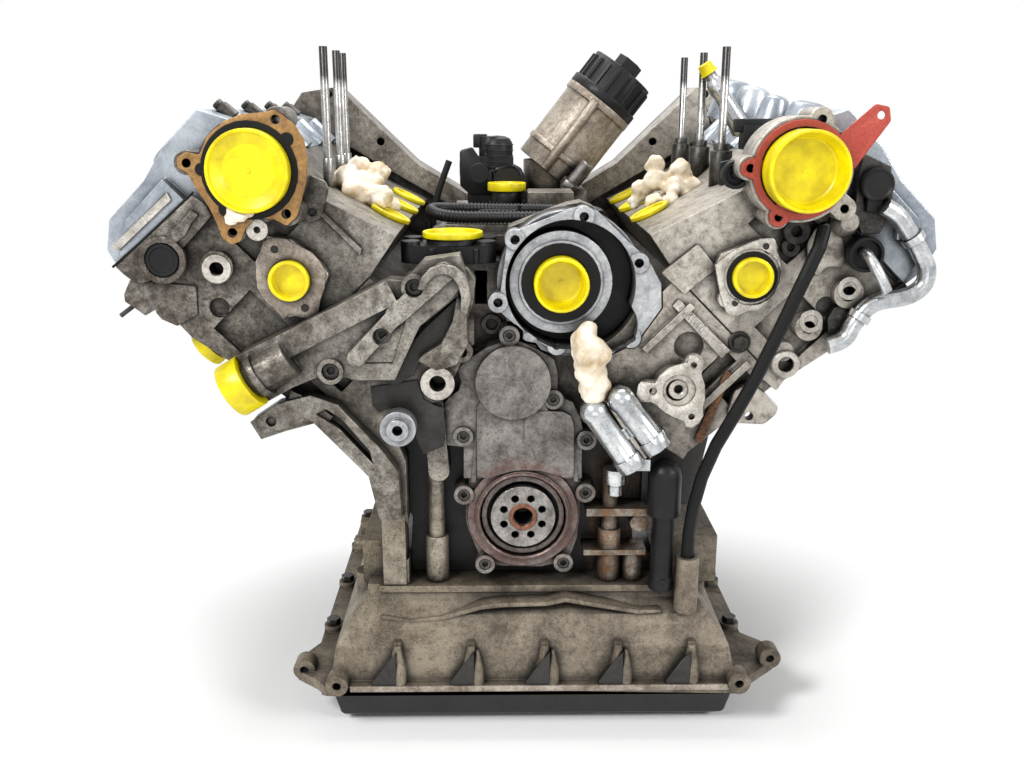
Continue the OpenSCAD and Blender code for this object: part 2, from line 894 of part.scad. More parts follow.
cover_outline = [[-72, cam_h], [-74, cam_h + 34], [-60, cam_h + cover_h + 6], [-20, cam_h + cover_h + 6],
  [10, cam_h + cover_h], [52, cam_h + cover_h], [72, cam_h + cover_h - 14], [78, cam_h + 20], [76, cam_h]];
module cover(side, ys) {
  w = cover_wall;
  bank(side)
    difference() {
      union() {
        along(front_y + 2, rear_y)
          polygon(cover_outline);
        // stepped front, lower and set back in two facets
        along(front_y - 8, front_y + 3)
          polygon([[-4, cam_h + 3], [-4, cam_h + 44], [40, cam_h + 44], [64, cam_h + 30], [70, cam_h + 3]]);
        for (y = ys)
          translate([0, y, cam_h + 20])
            cylinder(h = cover_h, r = 15);
        for (k = [0:4])
          translate([-70, 30 + k * 70, cam_h])
            cylinder(h = 30, r = 9);
        for (k = [0:4])
          translate([74, 30 + k * 70, cam_h])
            cylinder(h = 26, r = 9);
      }
      difference() {
        along(front_y + 2 + w, rear_y - w)
          polygon([[-66, cam_h - 1], [-68, cam_h + 33], [-56, cam_h + cover_h], [-20, cam_h + cover_h],
            [10, cam_h + cover_h - 6], [49, cam_h + cover_h - 6], [66, cam_h + cover_h - 18], [71, cam_h - 1]]);
        // bearing walls over the camshafts
        for (i = [0:3])
          slab([-80, ys[0] - bore_pitch / 2 - 7.5 + i * bore_pitch, cam_h - 2],
            [80, ys[0] - bore_pitch / 2 + 7.5 + i * bore_pitch, cam_h + 22]);
        for (y = ys)
          translate([0, y, cam_h - 2])
            cylinder(h = cover_h + 20, r = 11);
      }
      for (v = [-cam_v, cam_v])
        bar(v, cam_h, front_y + 12, v < 0 ? rear_y + 1 : rear_y - 4, journal_r + run_gap);
      for (v = [-cam_v, cam_v])
        translate([v, gear_y + gear_w + 1.5, cam_h])
          rotate([90, 0, 0])
            cylinder(h = gear_w + 3, r = gear_r + 1.2);
      for (v = [-cam_v, cam_v])
        slab([v - 25, rear_y - 2 * w - 26, cam_h - 1], [v + 25, gear_y + 2, cam_h + 25]);
      for (y = ys)
        translate([0, y, cam_h - 3])
          cylinder(h = cover_h + 40, r = 7);
      // grooves that step the top
      for (y = [40, 128, 217, 306])
        slab([-12, y - 9, cam_h + cover_h - 3], [60, y + 9, cam_h + cover_h + 20]);
    }
}
module cover_left() {
  color("lightsteelblue")
    cover(-1, left_y);
}
module cover_right() {
  color("lightsteelblue")
    cover(1, right_y);
}

// Camshafts
module camshaft(side, v, ys, chain_y) {
  lobe_nose = 9;
  end_y = v < 0 ? chain_y + chain_w + 3 : gear_y + gear_w + 6;
  color("silver")
    bank(side)
      translate([v, 0, cam_h])
        union() {
          bar(0, 0, front_y + 14, rear_y - 12, 11);
          for (y = [for (i = [0:3]) ys[0] - bore_pitch / 2 + i * bore_pitch])
            bar(0, 0, max(y - 8, front_y + 13), y + 8, journal_r);
          for (i = [0:2])
            for (k = [-18, 18])
              along(ys[i] + k - 6, ys[i] + k + 6)
                rotate([0, 0, (v < 0 ? 100 : 60) + pin_fire[i] / 2])
                  union() {
                    circle(15);
                    run2d([0, 0], [lobe_nose, 0], 12.5);
                  }
          along(gear_y, gear_y + gear_w)
            teeth2d(36, gear_r, 2.2);
          bar(0, 0, rear_y - 13, end_y, journal_r);
          if (v < 0)
            along(chain_y, chain_y + chain_w)
              teeth2d(30, 28, 3);
        }
}
module cam_intake_left() { camshaft(-1, -cam_v, left_y, chain_y_left); }
module cam_exhaust_left() { camshaft(-1, cam_v, left_y, chain_y_left); }
module cam_intake_right() { camshaft(1, -cam_v, right_y, chain_y_right); }
module cam_exhaust_right() { camshaft(1, cam_v, right_y, chain_y_right); }

// Timing drive at the rear
cam_in = [bank_x(-cam_v, cam_h), bank_z(-cam_v, cam_h)];
module idler_sprocket() {
  color("gray")
    difference() {
      union() {
        along(chain_y_main, chain_y_main + chain_w)
          translate([0, idler_z])
            teeth2d(48, 48, 3);
        for (y = [chain_y_right, chain_y_left])
          along(y, y + chain_w)
            translate([0, idler_z])
              teeth2d(30, 28, 3);
        bar(0, idler_z, rear_y + 3, chain_y_main + chain_w, 20);
      }
      bar(0, idler_z, rear_y, case_end, 12 + run_gap);
    }
}
module idler_pin() {
  color("dimgray")
    union() {
      bar(0, idler_z, rear_y, chain_y_main + chain_w + 1, 12);
      along(chain_y_main + chain_w + 1, chain_y_main + chain_w + 5)
        translate([0, idler_z])
          circle(15, $fn = 6);
    }
}
function loop2d(a, b, ra, rb, n = 20) = let (
    d = b - a,
    l = norm(d),
    t = atan2(d[1], d[0]),
    lean = acos((ra - rb) / l)
  ) concat(
    [for (i = [0:n]) let (q = t + lean + (360 - 2 * lean) * i / n) a + ra * [cos(q), sin(q)]],
    [for (i = [0:n]) let (q = t - lean + 2 * lean * i / n) b + rb * [cos(q), sin(q)]]);
module chain(y, b, ra, rb, a) {
  color("dimgray")
    along(y, y + chain_w)
      difference() {
        polygon(loop2d(a, b, ra + free_gap + 5, rb + free_gap + 5));
        polygon(loop2d(a, b, ra + free_gap, rb + free_gap));
      }
}
module timing_chains() {
  chain(chain_y_main, [0, idler_z], small_sprocket, 48, [0, 0]);
  chain(chain_y_left, flip(-1, cam_in), 28, 28, [0, idler_z]);
  chain(chain_y_right, cam_in, 28, 28, [0, idler_z]);
}

case_half = [[0, 236], [54, 243], [112, 278], [162, 326], [195, 358], [234, 352], [270, 302], [268, 258],
  [236, 218], [160, 140], [132, 70], [120, 0], [118, -foot_h], [0, -foot_h]];
module case_outline() {
  polygon(both(case_half));
}
case_holes = [[100, -48], [112, 60], [140, 132], [205, 350], [262, 300], [52, 230], [150, 300]];
module case_room() {
  polygon(loop2d([0, 0], [0, idler_z], 44, 58));
  for (s = [-1, 1])
    polygon(loop2d([0, idler_z], flip(s, cam_in), 58, 36.5));
}
module timing_case() {
  color("silver")
    difference() {
      along(rear_y, case_end)
        difference() {
          case_outline();
          case_room();
        }
      for (p = case_holes)
        for (s = [-1, 1])
          bar(s * p[0], p[1], rear_y - 1, case_end + 1, 4);
    }
}
bell_holes = [[105, -48], [140, 132], [205, 345]];
module timing_cover() {
  color("silver")
    difference() {
      union() {
        along(case_end, bell_y)
          case_outline();
        for (s = [-1, 1])
          for (p = bell_holes)
            bar(s * p[0], p[1], bell_y - 1, bell_y + 6, 12);
      }
      bar(0, 0, case_end - 1, bell_y + 1, 52);
      for (s = [-1, 1])
        for (p = bell_holes)
          bar(s * p[0], p[1], case_end - 1, bell_y + 7, 5.2);
    }
}

// Left side: coolant arm, bracket and roller
arm_top = front_y;
arm_front = -24;
arm_outline = [[-50, 226], [-78, 222], [-93, 206], [-106, 207], [-225, 148], [-206, 108], [-185, 120],
  [-156, 132], [-133, 126], [-103, 126], [-82, 170], [-58, 190], [-44, 206]];
arm_bolts = [[-85.3, 201], [-111.3, 163], [-153.3, 134]];
module arm_end(z0, z1, r) {
  translate([-213, -23, 129.5])
    rotate([0, -121.2, 0])
      translate([0, 0, z0])
        cylinder(h = z1 - z0, r = r);
}
module coolant_arm() {
  color("silver")
    difference() {
      union() {
        along(arm_front + 4, arm_top)
          polygon(arm_outline);
        // upper ridge and lower ridge standing out from the web
        along(arm_front - 4, arm_front + 5)
          union() {
            polygon([[-106, 207], [-225, 148], [-216, 130], [-98, 190]]);
            run2d([-62, 213], [-100, 180], 8);
            run2d([-100, 180], [-132, 146], 7);
          }
        for (p = arm_bolts)
          bar(p[0], p[1], arm_front, arm_top, 10.5);
        // round end with its collar
        arm_end(-34, 3, 16);
        arm_end(-8, -2, 19);
      }
      arm_end(3, 40, 23);
      for (p = arm_bolts)
        bar(p[0], p[1], arm_front - 6, arm_top - 8, 7);
      for (p = arm_bolts)
        bar(p[0], p[1], arm_front - 6, arm_top + 1, 3.6);
      along(arm_front - 1, arm_top - 6)
        polygon([[-104, 140], [-126, 140], [-108, 170], [-92, 178]]);
    }
}
module left_bracket() {
  color("silver")
    difference() {
      along(-14, front_y)
        polygon([[-219, 92], [-211, 79], [-172, 90], [-128, 42], [-120, 4], [-101, 4], [-103, 46], [-118, 68], [-140, 92], [-150, 104],
          [-172, 112], [-198, 106]]);
      bar(-205, 90, -15, 1, 4);
      along(-15, -5)
        polygon([[-160, 100], [-148, 92], [-126, 64], [-124, 54], [-150, 84], [-168, 96]]);
    }
}
roller = [-100.8, 88];
module left_roller() {
  color("silver")
    difference() {
      union() {
        bar(roller[0], roller[1], -30, -16, 14.5);
        bar(roller[0], roller[1], -34, -28, 9);
        bar(roller[0], roller[1], -18, front_y, 7);
      }
      bar(roller[0], roller[1], -35, -20, 4);
    }
}

// Right side fittings
module rod_between(a, b, r) {
  d = b - a;
  translate(a)
    rotate([0, acos(d[2] / norm(d)), atan2(d[1], d[0])])
      cylinder(h = norm(d), r = r);
}
pipe_y = -19;
pipe_runs = [[[57, 99], [90, 52], case_front], [[78, 109], [110, 69], front_y]];
module coolant_pipes() {
  color("silver")
    union() {
      for (k = pipe_runs) {
        a = [k[0][0], pipe_y, k[0][1]];
        b = [k[1][0], pipe_y, k[1][1]];
        rod_between(a, b, 11);
        translate(a)
          sphere(11.7);
        bar(k[0][0], k[0][1], pipe_y, k[2], 9);
        rod_between(b - (b - a) / norm(b - a) * 12, b, 12.6);
      }
      translate([83.7, pipe_y, 82.3])
        rotate([0, -33, 0])
          cube([30, 10, 10], center = true);
      slab([82, pipe_y - 6, 50], [103, case_front, 60]);
    }
}
module pressure_tube() {
  color("black")
    union() {
      translate([118, -8, 6])
        rotate_extrude()
          polygon([[0, 0], [14, 0], [14, 35], [12.6, 40.5], [9.5, 44.5], [5, 47.2], [0, 48]]);
      translate([118, -8, -foot_h])
        cylinder(h = foot_h + 8, r = 9.5);
      translate([118, -8, -foot_h])
        cylinder(h = 12, r = 10.6);
      slab([106, -8, 14], [116, front_y, 24]);
    }
}
guide_route = [[230, -22, 247], [225, -28, 232], [214, -32, 208], [198, -32, 168], [182, -32, 130],
  [168, -30, 100], [155, -26, 72], [146, -22, 44], [141, -18, 16], [139, -14, -10], [139, -14, -43]];
module guide_tube() {
  color("black")
    sweep(guide_route, 5.4, 12);
}

// Gaskets, caps and plugs on the head fronts
arm_tip = [262, 328];
module port_gaskets() {
  color("tan")
    along(port_face - 2, port_face)
      union() {
        difference() {
          union() {
            port_shape(port_l, port_l_ears, 43);
            run2d([-181.6, 327.4], [-199.3, 246.6], 7);
          }
          translate(port_l)
            circle(31);
          for (e = port_l_ears)
            translate(e)
              circle(3.2);
        }
        difference() {
          union() {
            port_shape(port_r, port_r_ears, 43);
            run2d([220, 300], arm_tip, 7);
            run2d([226, 316], [240, 296], 9.5);
          }
          translate(port_r)
            circle(31);
          translate(arm_tip)
            circle(2.5);
          for (e = port_r_ears)
            translate(e)
              circle(3.2);
        }
      }
}
module port_cap_left() {
  color("yellow")
    cup(port_l[0], port_l[1], port_face - 12, port_face - 2, big_cap_d / 2 + 2, port_face + 20, 29.9);
}
module port_cap_right() {
  color("yellow")
    cup(port_r[0], port_r[1], port_face - 24, port_face - 2, big_cap_d / 2 + 2, port_face + 20, 29.9);
}
flange_l_edge = [[-199, 240], [-181, 237], [-158, 217], [-153, 209], [-159, 194], [-166, 178], [-187, 175],
  [-197, 182], [-209, 205], [-210, 219]];
flange_r_edge = [[186, 237], [197, 231], [201, 215], [191, 187], [164, 179], [158, 188], [150, 215], [154, 225]];
module small_flange(mid, holes, edge) {
  along(-10, front_y)
    difference() {
      union() {
        polygon(edge);
        translate(mid)
          circle(21);
        for (p = holes)
          translate(p)
            circle(7);
      }
      translate(mid)
        circle(14);
      for (p = holes)
        translate(p)
          circle(3.4);
    }
}
module port_flanges() {
  color("silver")
    union() {
      small_flange(flange_l, flange_l_holes, flange_l_edge);
      small_flange(flange_r, flange_r_holes, flange_r_edge);
    }
}
module flange_cap(mid) {
  difference() {
    union() {
      bar(mid[0], mid[1], -17, -10, small_cap_d / 2 + 1);
      bar(mid[0], mid[1], -11, 2, 13.9);
    }
    bar(mid[0], mid[1], -18, -8, small_cap_d / 2 - 2);
  }
}
plug_spots = [[-283, 220.3, -8], [267.6, 221.6, -8]];
module cam_plugs() {
  color("black")
    for (p = plug_spots)
      difference() {
        bar(p[0], p[1], front_y - 22, front_y - 8, 15);
        bar(p[0], p[1], front_y - 23, front_y - 17, 11);
      }
}

// Caps, foam, rods and sockets on the intake shelves
shelf_foot = [-98, head_base + 7];
shelf_end = [-73, 312];
shelf_lean = atan((shelf_end[0] - shelf_foot[0]) / (shelf_end[1] - shelf_foot[1]));
port_u = head_base + 22;
port_v = shelf_foot[0] + (port_u - shelf_foot[1]) * tan(shelf_lean);
module intake_caps(side, ys) {
    bank(side)
      for (y = ys)
        difference() {
          union() {
            translate([port_v, y, port_u])
              rotate([0, shelf_lean - 90, 0])
                cylinder(h = 4, r = 18);
            difference() {
              translate([-18, y, head_base + 18])
                rotate([0, -87, 0])
                  translate([0, 0, 56])
                    cylinder(h = 22, r = 14.8);
              translate([port_v, y, port_u])
                rotate([0, shelf_lean - 90, 0])
                  translate([-40, -40, 1])
                    cube([80, 80, 40]);
            }
          }
          translate([port_v, y, port_u])
            rotate([0, shelf_lean - 90, 0])
              translate([0, 0, 2])
                cylinder(h = 4, r = 14);
        }
}
module lid(h, r, floor_t, wall, neck_h, neck_r) {
  // a lipped lid with a neck below
  difference() {
    union() {
      cylinder(h = h, r = r);
      if (neck_h > 0)
        translate([0, 0, -neck_h])
          cylinder(h = neck_h + 1, r = neck_r);
    }
    translate([0, 0, floor_t])
      cylinder(h = h, r = r - wall);
  }
}
module small_caps() {
  color("yellow")
    union() {
      flange_cap(flange_l);
      flange_cap(flange_r);
      difference() {
        arm_end(3, 22, 22.3);
        arm_end(6, 23, 19.5);
      }
      intake_caps(-1, left_y);
      intake_caps(1, right_y);
      translate([breather_mouth[0], breather_mouth[1], valley_top + 18])
        lid(8, 19, 2, 2.5, 0, 0);
      translate([thermo[0], thermo[1], tower_top + 19])
        lid(5, 25, 1.5, 3, 8, 17.8);
    }
}
module head_solid() {
  // the head and cover outline that soft pieces are cut back to
  for (side = [-1, 1])
    bank(side) {
      along(front_y - 60, rear_y)
        union() {
          polygon(head_outline);
          polygon(cover_outline);
        }
      for (y = side < 0 ? left_y : right_y)
        translate([port_v, y, port_u])
          rotate([0, shelf_lean - 90, 0])
            cylinder(h = 4.4, r = 18.4);
    }
}
foam_lump_list = [
  [-136, 110, 268, 15], [-144, 98, 262, 14], [-124, 92, 260, 13], [-144, 126, 280, 12], [-128, 120, 278, 12],
  [-116, 106, 252, 9], [-152, 112, 272, 13],
  [128, 134, 266, 14], [142, 126, 268, 14], [116, 140, 270, 12], [132, 142, 282, 11], [150, 138, 276, 11],
  [118, 128, 254, 10], [112, 142, 256, 9],
  [50, -13.2, 150, 13], [60, -14, 142, 13], [54, -14, 134, 13], [62, -15, 126, 11.5], [46, -12, 160, 8]];
module foam_plugs() {
  color("ivory")
    difference() {
      for (q = foam_lump_list)
        translate([q[0], q[1], q[2]])
          sphere(q[3], $fn = 12);
      head_solid();
    }
}
left_rods = [[-166, 90], [-165, 152], [-166, 196]];
right_rods = [[172, 92], [171, 184], [169, 274]];
rod_foot = 274;
module long_rods() {
  color("gray")
    for (p = concat(left_rods, right_rods))
      difference() {
        union() {
          translate([p[0], p[1], rod_foot - 14])
            cylinder(h = rod_h + 30, r = rod_d / 2);
          translate([p[0], p[1], rod_foot - 14])
            cylinder(h = 34, r = rod_d / 2 + 1.2);
        }
        head_solid();
      }
}
module rod_sockets() {
  color("dimgray")
    for (p = right_rods)
      difference() {
        union() {
          translate([p[0], p[1], rod_foot - 14])
            cylinder(h = 40, r = 9.5);
          translate([p[0], p[1], rod_foot + 24])
            cylinder(h = 8, r = 7);
        }
        translate([p[0], p[1], rod_foot - 16])
          cylinder(h = 60, r = rod_d / 2 + 1.3);
        head_solid();
      }
}

// Valley: cooler cover, oil filter, breather, thermostat and conduit
valley_top = 238;
filter_foot = [31, 288, 272];
filter_lean = 38;
module valley_cover() {
  color("silver")
    difference() {
      union() {
        along(74, rear_y - 12)
          polygon([[-54, 140], [54, 140], [56, 150], [86, 196], [84, 224], [70, 230], [-74, 230], [-84, 224],
            [-86, 196], [-56, 150]]);
        slab([-66, 84, 228], [62, rear_y - 20, valley_top]);
        // raised pad under the filter
        slab([-4, 250, valley_top - 2], [70, 326, valley_top + 16]);
        slab([8, 180, valley_top - 2], [52, 226, valley_top + 20]);
      }
      for (k = [0:3])
        slab([-50, 96 + k * 34, valley_top - 4], [-12, 116 + k * 34, valley_top + 2]);
      slab([-46, 60, 150], [46, rear_y - 30, 216]);
    }
}
module tilted() {
  translate(filter_foot)
    rotate([0, filter_lean, 0])
      children();
}
module filter_housing() {
  color("silver")
    difference() {
      union() {
        tilted() {
          cylinder(h = 88, r = 36);
          translate([0, 0, 80])
            cylinder(h = 8, r = 38);
          translate([0, 0, 18])
            cylinder(h = 6, r = 38);
          for (a = [20, 140, 260])
            rotate(a)
              translate([36, 0, 0])
                cylinder(h = 84, r = 5);
        }
        translate([33, 288, valley_top + 16])
          cylinder(h = 30, r = 27);
      }
      tilted()
        translate([0, 0, 6])
          cylinder(h = 100, r = 32);
      slab([-60, 200, 180], [140, 360, valley_top + 16]);
    }
}
module filter_element() {
  color("khaki")
    tilted()
      difference() {
        translate([0, 0, 8])
          cylinder(h = 76, r = 29);
        translate([0, 0, 7])
          cylinder(h = 80, r = 11);
      }
}
module filter_cap() {
  color("black")
    tilted()
      difference() {
        union() {
          translate([0, 0, 88])
            cylinder(h = 9, r = 38);
          translate([0, 0, 96])
            cylinder(h = 30, r = 34);
          translate([0, 0, 86])
            cylinder(h = 3, r = 31.9);
          translate([0, 0, 125])
            cylinder(h = 14, r = 14, $fn = 6);
          for (a = [0:20:340])
            rotate(a)
              translate([33, -2, 96])
                cube([3, 4, 26]);
        }
        translate([0, 0, 85])
          cylinder(h = 32, r = 28);
      }
}
breather_mouth = [-12, 226];
module breather() {
  color("black")
    union() {
      translate([breather_mouth[0], breather_mouth[1], valley_top])
        cylinder(h = 18, r = 15);
      slab([-52, 249, valley_top], [-5, 275, 288]);
      translate([-28, 262, 280])
        cylinder(h = 28, r = 12.3);
      bar(-40, 272, 237, 250, 10);
      slab([-30, 222, valley_top], [7, 249.5, valley_top + 8]);
      translate([-60, 262, 276])
        rotate([0, 90, 0])
          cylinder(h = 12, r = 9);
    }
}
module thermostat() {
  color("black")
    difference() {
      union() {
        slab([-92, 22, tower_top], [-30, 66, tower_top + 14]);
        for (x = [-92, -30])
          for (y = [30, 58])
            translate([x, y, tower_top])
              cylinder(h = 18, r = 8);
        translate([thermo[0], thermo[1], tower_top])
          cylinder(h = 19, r = 22);
        for (x = [-74, -56, -38])
          slab([x - 2, 18, tower_top], [x + 2, 24, tower_top + 12]);
      }
      translate([thermo[0], thermo[1], tower_top + 8])
        cylinder(h = 14, r = 18);
    }
}
conduit_z = valley_top + 5.8;
conduit_route = [[46, 92, conduit_z], [30, 88, conduit_z], [0, 86, conduit_z], [-30, 86, conduit_z],
  [-56, 90, conduit_z], [-72, 100, conduit_z + 1], [-80, 116, conduit_z + 3], [-78, 134, conduit_z + 3],
  [-66, 148, conduit_z + 2], [-44, 156, conduit_z + 1], [-16, 160, conduit_z], [14, 158, conduit_z],
  [40, 148, conduit_z], [58, 134, conduit_z + 1], [67, 116, conduit_z + 1], [70, 98, conduit_z]];
module conduit() {
  color("black")
    sweep(conduit_route, 5.5, 12);
}

// Exhaust side and right-hand fittings
module exhaust_studs() {
  color("gray")
    for (side = [-1, 1])
      bank(side)
        for (y = side < 0 ? left_y : right_y)
          for (k = [-22, 22])
            difference() {
              translate([58, y + k, 288])
                rotate([0, 90, 0])
                  cylinder(h = 42, r = 4);
              along(front_y, rear_y)
                polygon(head_outline);
            }
}
loop_route = [[274, -23, 263], [286, -22, 255], [298, -20, 240], [309, -18, 224], [314, -18, 213], [312, -18, 201],
  [301, -18, 193], [281, -18, 189], [272, -18, 185], [266, -18, 179], [260, -18, 170], [256, -18, 161],
  [250, -18, 156], [241, -18, 153]];
module pipe_loop() {
  color("silver")
    union() {
      sweep(loop_route, 7, 12);
      slab([258, -20, 167], [271, front_y, 177]);
      slab([289, -20, 236], [302, front_y - 8, 246]);
    }
}
module side_plate() {
  color("dimgray")
    difference() {
      along(-14, front_y - 8)
        polygon([[258, 302], [280, 292], [284, 262], [276, 241], [262, 241], [255, 256], [255, 282]]);
      bar(270, 268, -15, -7, 9);
    }
}

engine_block();
main_caps();
main_cap_bolts();
upper_pan();
lower_pan();
pan_bolts();
seal_cover();
socket_screws();
crank_seals();
crankshaft();
crank_sprocket();
piston_l1();
piston_l2();
piston_l3();
piston_r1();
piston_r2();
piston_r3();
oil_pump();
pickup_pipe();
pump_housing();
pump_cap();
head_gaskets();
head_left();
head_right();
cover_left();
cover_right();
cam_intake_left();
cam_exhaust_left();
cam_intake_right();
cam_exhaust_right();
idler_sprocket();
idler_pin();
timing_chains();
timing_case();
timing_cover();
coolant_arm();
left_bracket();
left_roller();
port_gaskets();
port_cap_left();
port_cap_right();
port_flanges();
small_caps();
cam_plugs();
coolant_pipes();
pressure_tube();
guide_tube();
foam_plugs();
long_rods();
rod_sockets();
filter_housing();
filter_element();
filter_cap();
valley_cover();
breather();
thermostat();
conduit();
exhaust_studs();
pipe_loop();
side_plate();
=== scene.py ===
import math
import random

import bmesh
import bpy
from mathutils import Matrix, Vector, noise


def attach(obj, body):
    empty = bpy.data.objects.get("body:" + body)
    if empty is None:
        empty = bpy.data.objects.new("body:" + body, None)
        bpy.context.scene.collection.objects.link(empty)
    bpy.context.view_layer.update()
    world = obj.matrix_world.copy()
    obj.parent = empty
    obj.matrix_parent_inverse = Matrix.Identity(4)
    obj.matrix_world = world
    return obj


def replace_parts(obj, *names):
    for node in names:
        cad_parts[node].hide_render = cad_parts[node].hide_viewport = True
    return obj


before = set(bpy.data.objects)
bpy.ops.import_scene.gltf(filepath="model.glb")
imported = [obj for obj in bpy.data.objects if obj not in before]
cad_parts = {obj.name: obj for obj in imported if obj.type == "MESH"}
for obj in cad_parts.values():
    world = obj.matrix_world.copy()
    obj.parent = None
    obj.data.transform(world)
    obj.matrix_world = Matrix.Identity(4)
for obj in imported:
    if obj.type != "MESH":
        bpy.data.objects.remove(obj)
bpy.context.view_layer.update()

MM = 0.001
CELLS = 1000.0  # noise cells in a metre for patches of one millimetre
FRONT = (0, -1, 0)
BACK = (0, 1, 0)
UP = (0, 0, 1)
AXIS = 0.01  # radius at which a turned profile meets its axis, in millimetres
FLOOR_Z = -0.1885
SMOOTH_DEG = 32


# The camera stands where the photograph was taken from
def set_camera():
    lens = bpy.data.cameras.new("photo camera")
    lens.sensor_width = 36.0
    lens.lens = 35.156
    lens.clip_start = 0.05
    camera = bpy.data.objects.new("photo camera", lens)
    right = Vector((0.9999330, -0.0115726, 0.0))
    up = Vector((0.0030582, 0.2642420, 0.9644516))
    ahead = Vector((0.0111613, 0.9643870, -0.2642597))
    turn = Matrix((right, up, -ahead)).transposed().to_4x4()
    camera.matrix_world = Matrix.Translation((-0.01849, -0.78975, 0.33365)) @ turn
    bpy.context.collection.objects.link(camera)
    bpy.context.scene.camera = camera


# Materials
def colour(text):
    """A hex colour as it looks on screen, turned to linear light."""
    parts = [int(text[i:i + 2], 16) / 255 for i in (1, 3, 5)]
    return tuple(c / 12.92 if c <= 0.04045 else ((c + 0.055) / 1.055) ** 2.4 for c in parts) + (1.0,)


def node(tree, kind, settings=None, **sockets):
    """Adds one node, sets its properties, and fills or links its sockets."""
    made = tree.nodes.new("ShaderNode" + kind)
    for key, value in (settings or {}).items():
        setattr(made, key, value)
    for key, value in sockets.items():
        name = key.replace("_", " ")
        socket = made.inputs[int(key[1:])] if key[0] == "i" and key[1:].isdigit() else made.inputs[name]
        if isinstance(value, bpy.types.NodeSocket):
            tree.links.new(value, socket)
        else:
            socket.default_value = value
    return made


def ramp(tree, source, low, high, bottom=0.0, top=1.0):
    """Carries source from low to high onto bottom to top, and no further."""
    return node(tree, "MapRange", {"clamp": True}, Value=source, From_Min=low, From_Max=high, To_Min=bottom,
                To_Max=top).outputs[0]


def times(tree, *values):
    """The product of sockets."""
    product = values[0]
    for value in values[1:]:
        product = node(tree, "Math", {"operation": "MULTIPLY"}, i0=product, i1=value).outputs[0]
    return product


def axes(tree, place):
    """The X, Y and Z of a place."""
    return node(tree, "SeparateXYZ", None, Vector=place).outputs


def blend_colour(tree, share, first, second):
    made = node(tree, "Mix", {"data_type": "RGBA"})
    for socket, value in ((made.inputs[0], share), (made.inputs[6], first), (made.inputs[7], second)):
        if isinstance(value, bpy.types.NodeSocket):
            tree.links.new(value, socket)
        else:
            socket.default_value = value
    return made.outputs[2]


def patches(tree, place, size_mm, detail=4.0, rough=0.6, warp=0.0):
    """Noise whose patches are about size_mm across."""
    return node(tree, "TexNoise", {"noise_dimensions": "3D"}, Vector=place, Scale=CELLS / size_mm,
                Detail=detail, Roughness=rough, Distortion=warp).outputs[0]


def new_material(name):
    """A node material, its tree and its shader."""
    made = bpy.data.materials.new(name)
    made.use_nodes = True
    return made, made.node_tree, made.node_tree.nodes["Principled BSDF"]


def corners(tree, reach_mm, samples, low, high, most):
    """How much grime and painted shade darken where surfaces within reach_mm close in."""
    gap = node(tree, "AmbientOcclusion", {"samples": samples}, Distance=reach_mm * MM).outputs["AO"]
    return ramp(tree, gap, low, high, most, 0.0)


def relief(tree, shader, height, strength, depth_mm):
    """Fine grain on a surface."""
    bump = node(tree, "Bump", None, Strength=strength, Distance=depth_mm * MM, Height=height)
    tree.links.new(bump.outputs[0], shader.inputs["Normal"])


def metal(name, light, dark, dirt, metallic=0.85, rough=(0.35, 0.6), grain_mm=1.2, grain=0.35,
          blotch_mm=45.0, stain=0.5, speck=0.35, crevice_dirt_and_shade_mm=9.0, crevice_dirt_and_shade=0.85, extra=None):
    """A used metal surface: mottled metal, stains, specks of dirt, and grime with painted shade darkening
    where surfaces close in.
    """
    made, tree, shader = new_material(name)
    place = node(tree, "TexCoord").outputs["Object"]
    broad = patches(tree, place, blotch_mm, 8.0, 0.78, 0.3)
    middle = patches(tree, place, blotch_mm / 5, 8.0, 0.8, 0.2)
    fine = patches(tree, place, 1.8, 3.0, 0.75)
    base = blend_colour(tree, ramp(tree, broad, 0.4, 0.62), colour(light), colour(dark))
    base = blend_colour(tree, ramp(tree, middle, 0.47, 0.66, 0.0, stain), base, colour(dirt))
    base = blend_colour(tree, ramp(tree, fine, 0.53, 0.66, 0.0, speck), base, colour(dirt))
    if extra:
        base = extra(tree, place, base, middle)
    # Grime and painted shade go near black in crevices, and painted shade goes near black where surfaces
    # within 38 mm close in
    base = blend_colour(tree, corners(tree, crevice_dirt_and_shade_mm, 6, 0.35, 0.95, crevice_dirt_and_shade), base, colour("#120f0c"))
    base = blend_colour(tree, corners(tree, 38, 4, 0.2, 0.82, 0.85), base, colour("#0e0c0a"))
    tree.links.new(base, shader.inputs["Base Color"])
    shader.inputs["Metallic"].default_value = metallic
    tree.links.new(ramp(tree, middle, 0.3, 0.7, *rough), shader.inputs["Roughness"])
    cast = patches(tree, place, grain_mm, 4.0, 0.6)
    lumps = patches(tree, place, grain_mm * 9, 3.0, 0.5)
    height = node(tree, "Math", {"operation": "MULTIPLY_ADD"}, i0=lumps, i1=1.2, i2=cast).outputs[0]
    relief(tree, shader, height, grain, 0.5)
    return made


def plastic(name, light, dark, rough=0.4, grain_mm=0.8, grain=0.08, glow=0.0, spec=0.5, crevice_dirt_and_shade=0.3):
    """A moulded plastic or rubber with faint mottling, a fine grain, and painted shade in its dark tone where
    surfaces close in.
    """
    made, tree, shader = new_material(name)
    place = node(tree, "TexCoord").outputs["Object"]
    broad = patches(tree, place, 18.0)
    base = blend_colour(tree, ramp(tree, broad, 0.35, 0.7), colour(light), colour(dark))
    # Painted shade: the dark tone where surfaces within 6 mm close in
    base = blend_colour(tree, corners(tree, 6, 6, 0.3, 0.9, crevice_dirt_and_shade), base, colour(dark))
    tree.links.new(base, shader.inputs["Base Color"])
    shader.inputs["Roughness"].default_value = rough
    shader.inputs["Specular IOR Level"].default_value = spec
    if glow:
        shader.inputs["Subsurface Weight"].default_value = glow
        shader.inputs["Subsurface Radius"].default_value = (0.004, 0.003, 0.001)
    relief(tree, shader, patches(tree, place, grain_mm, 3.0), grain, 0.3)
    return made


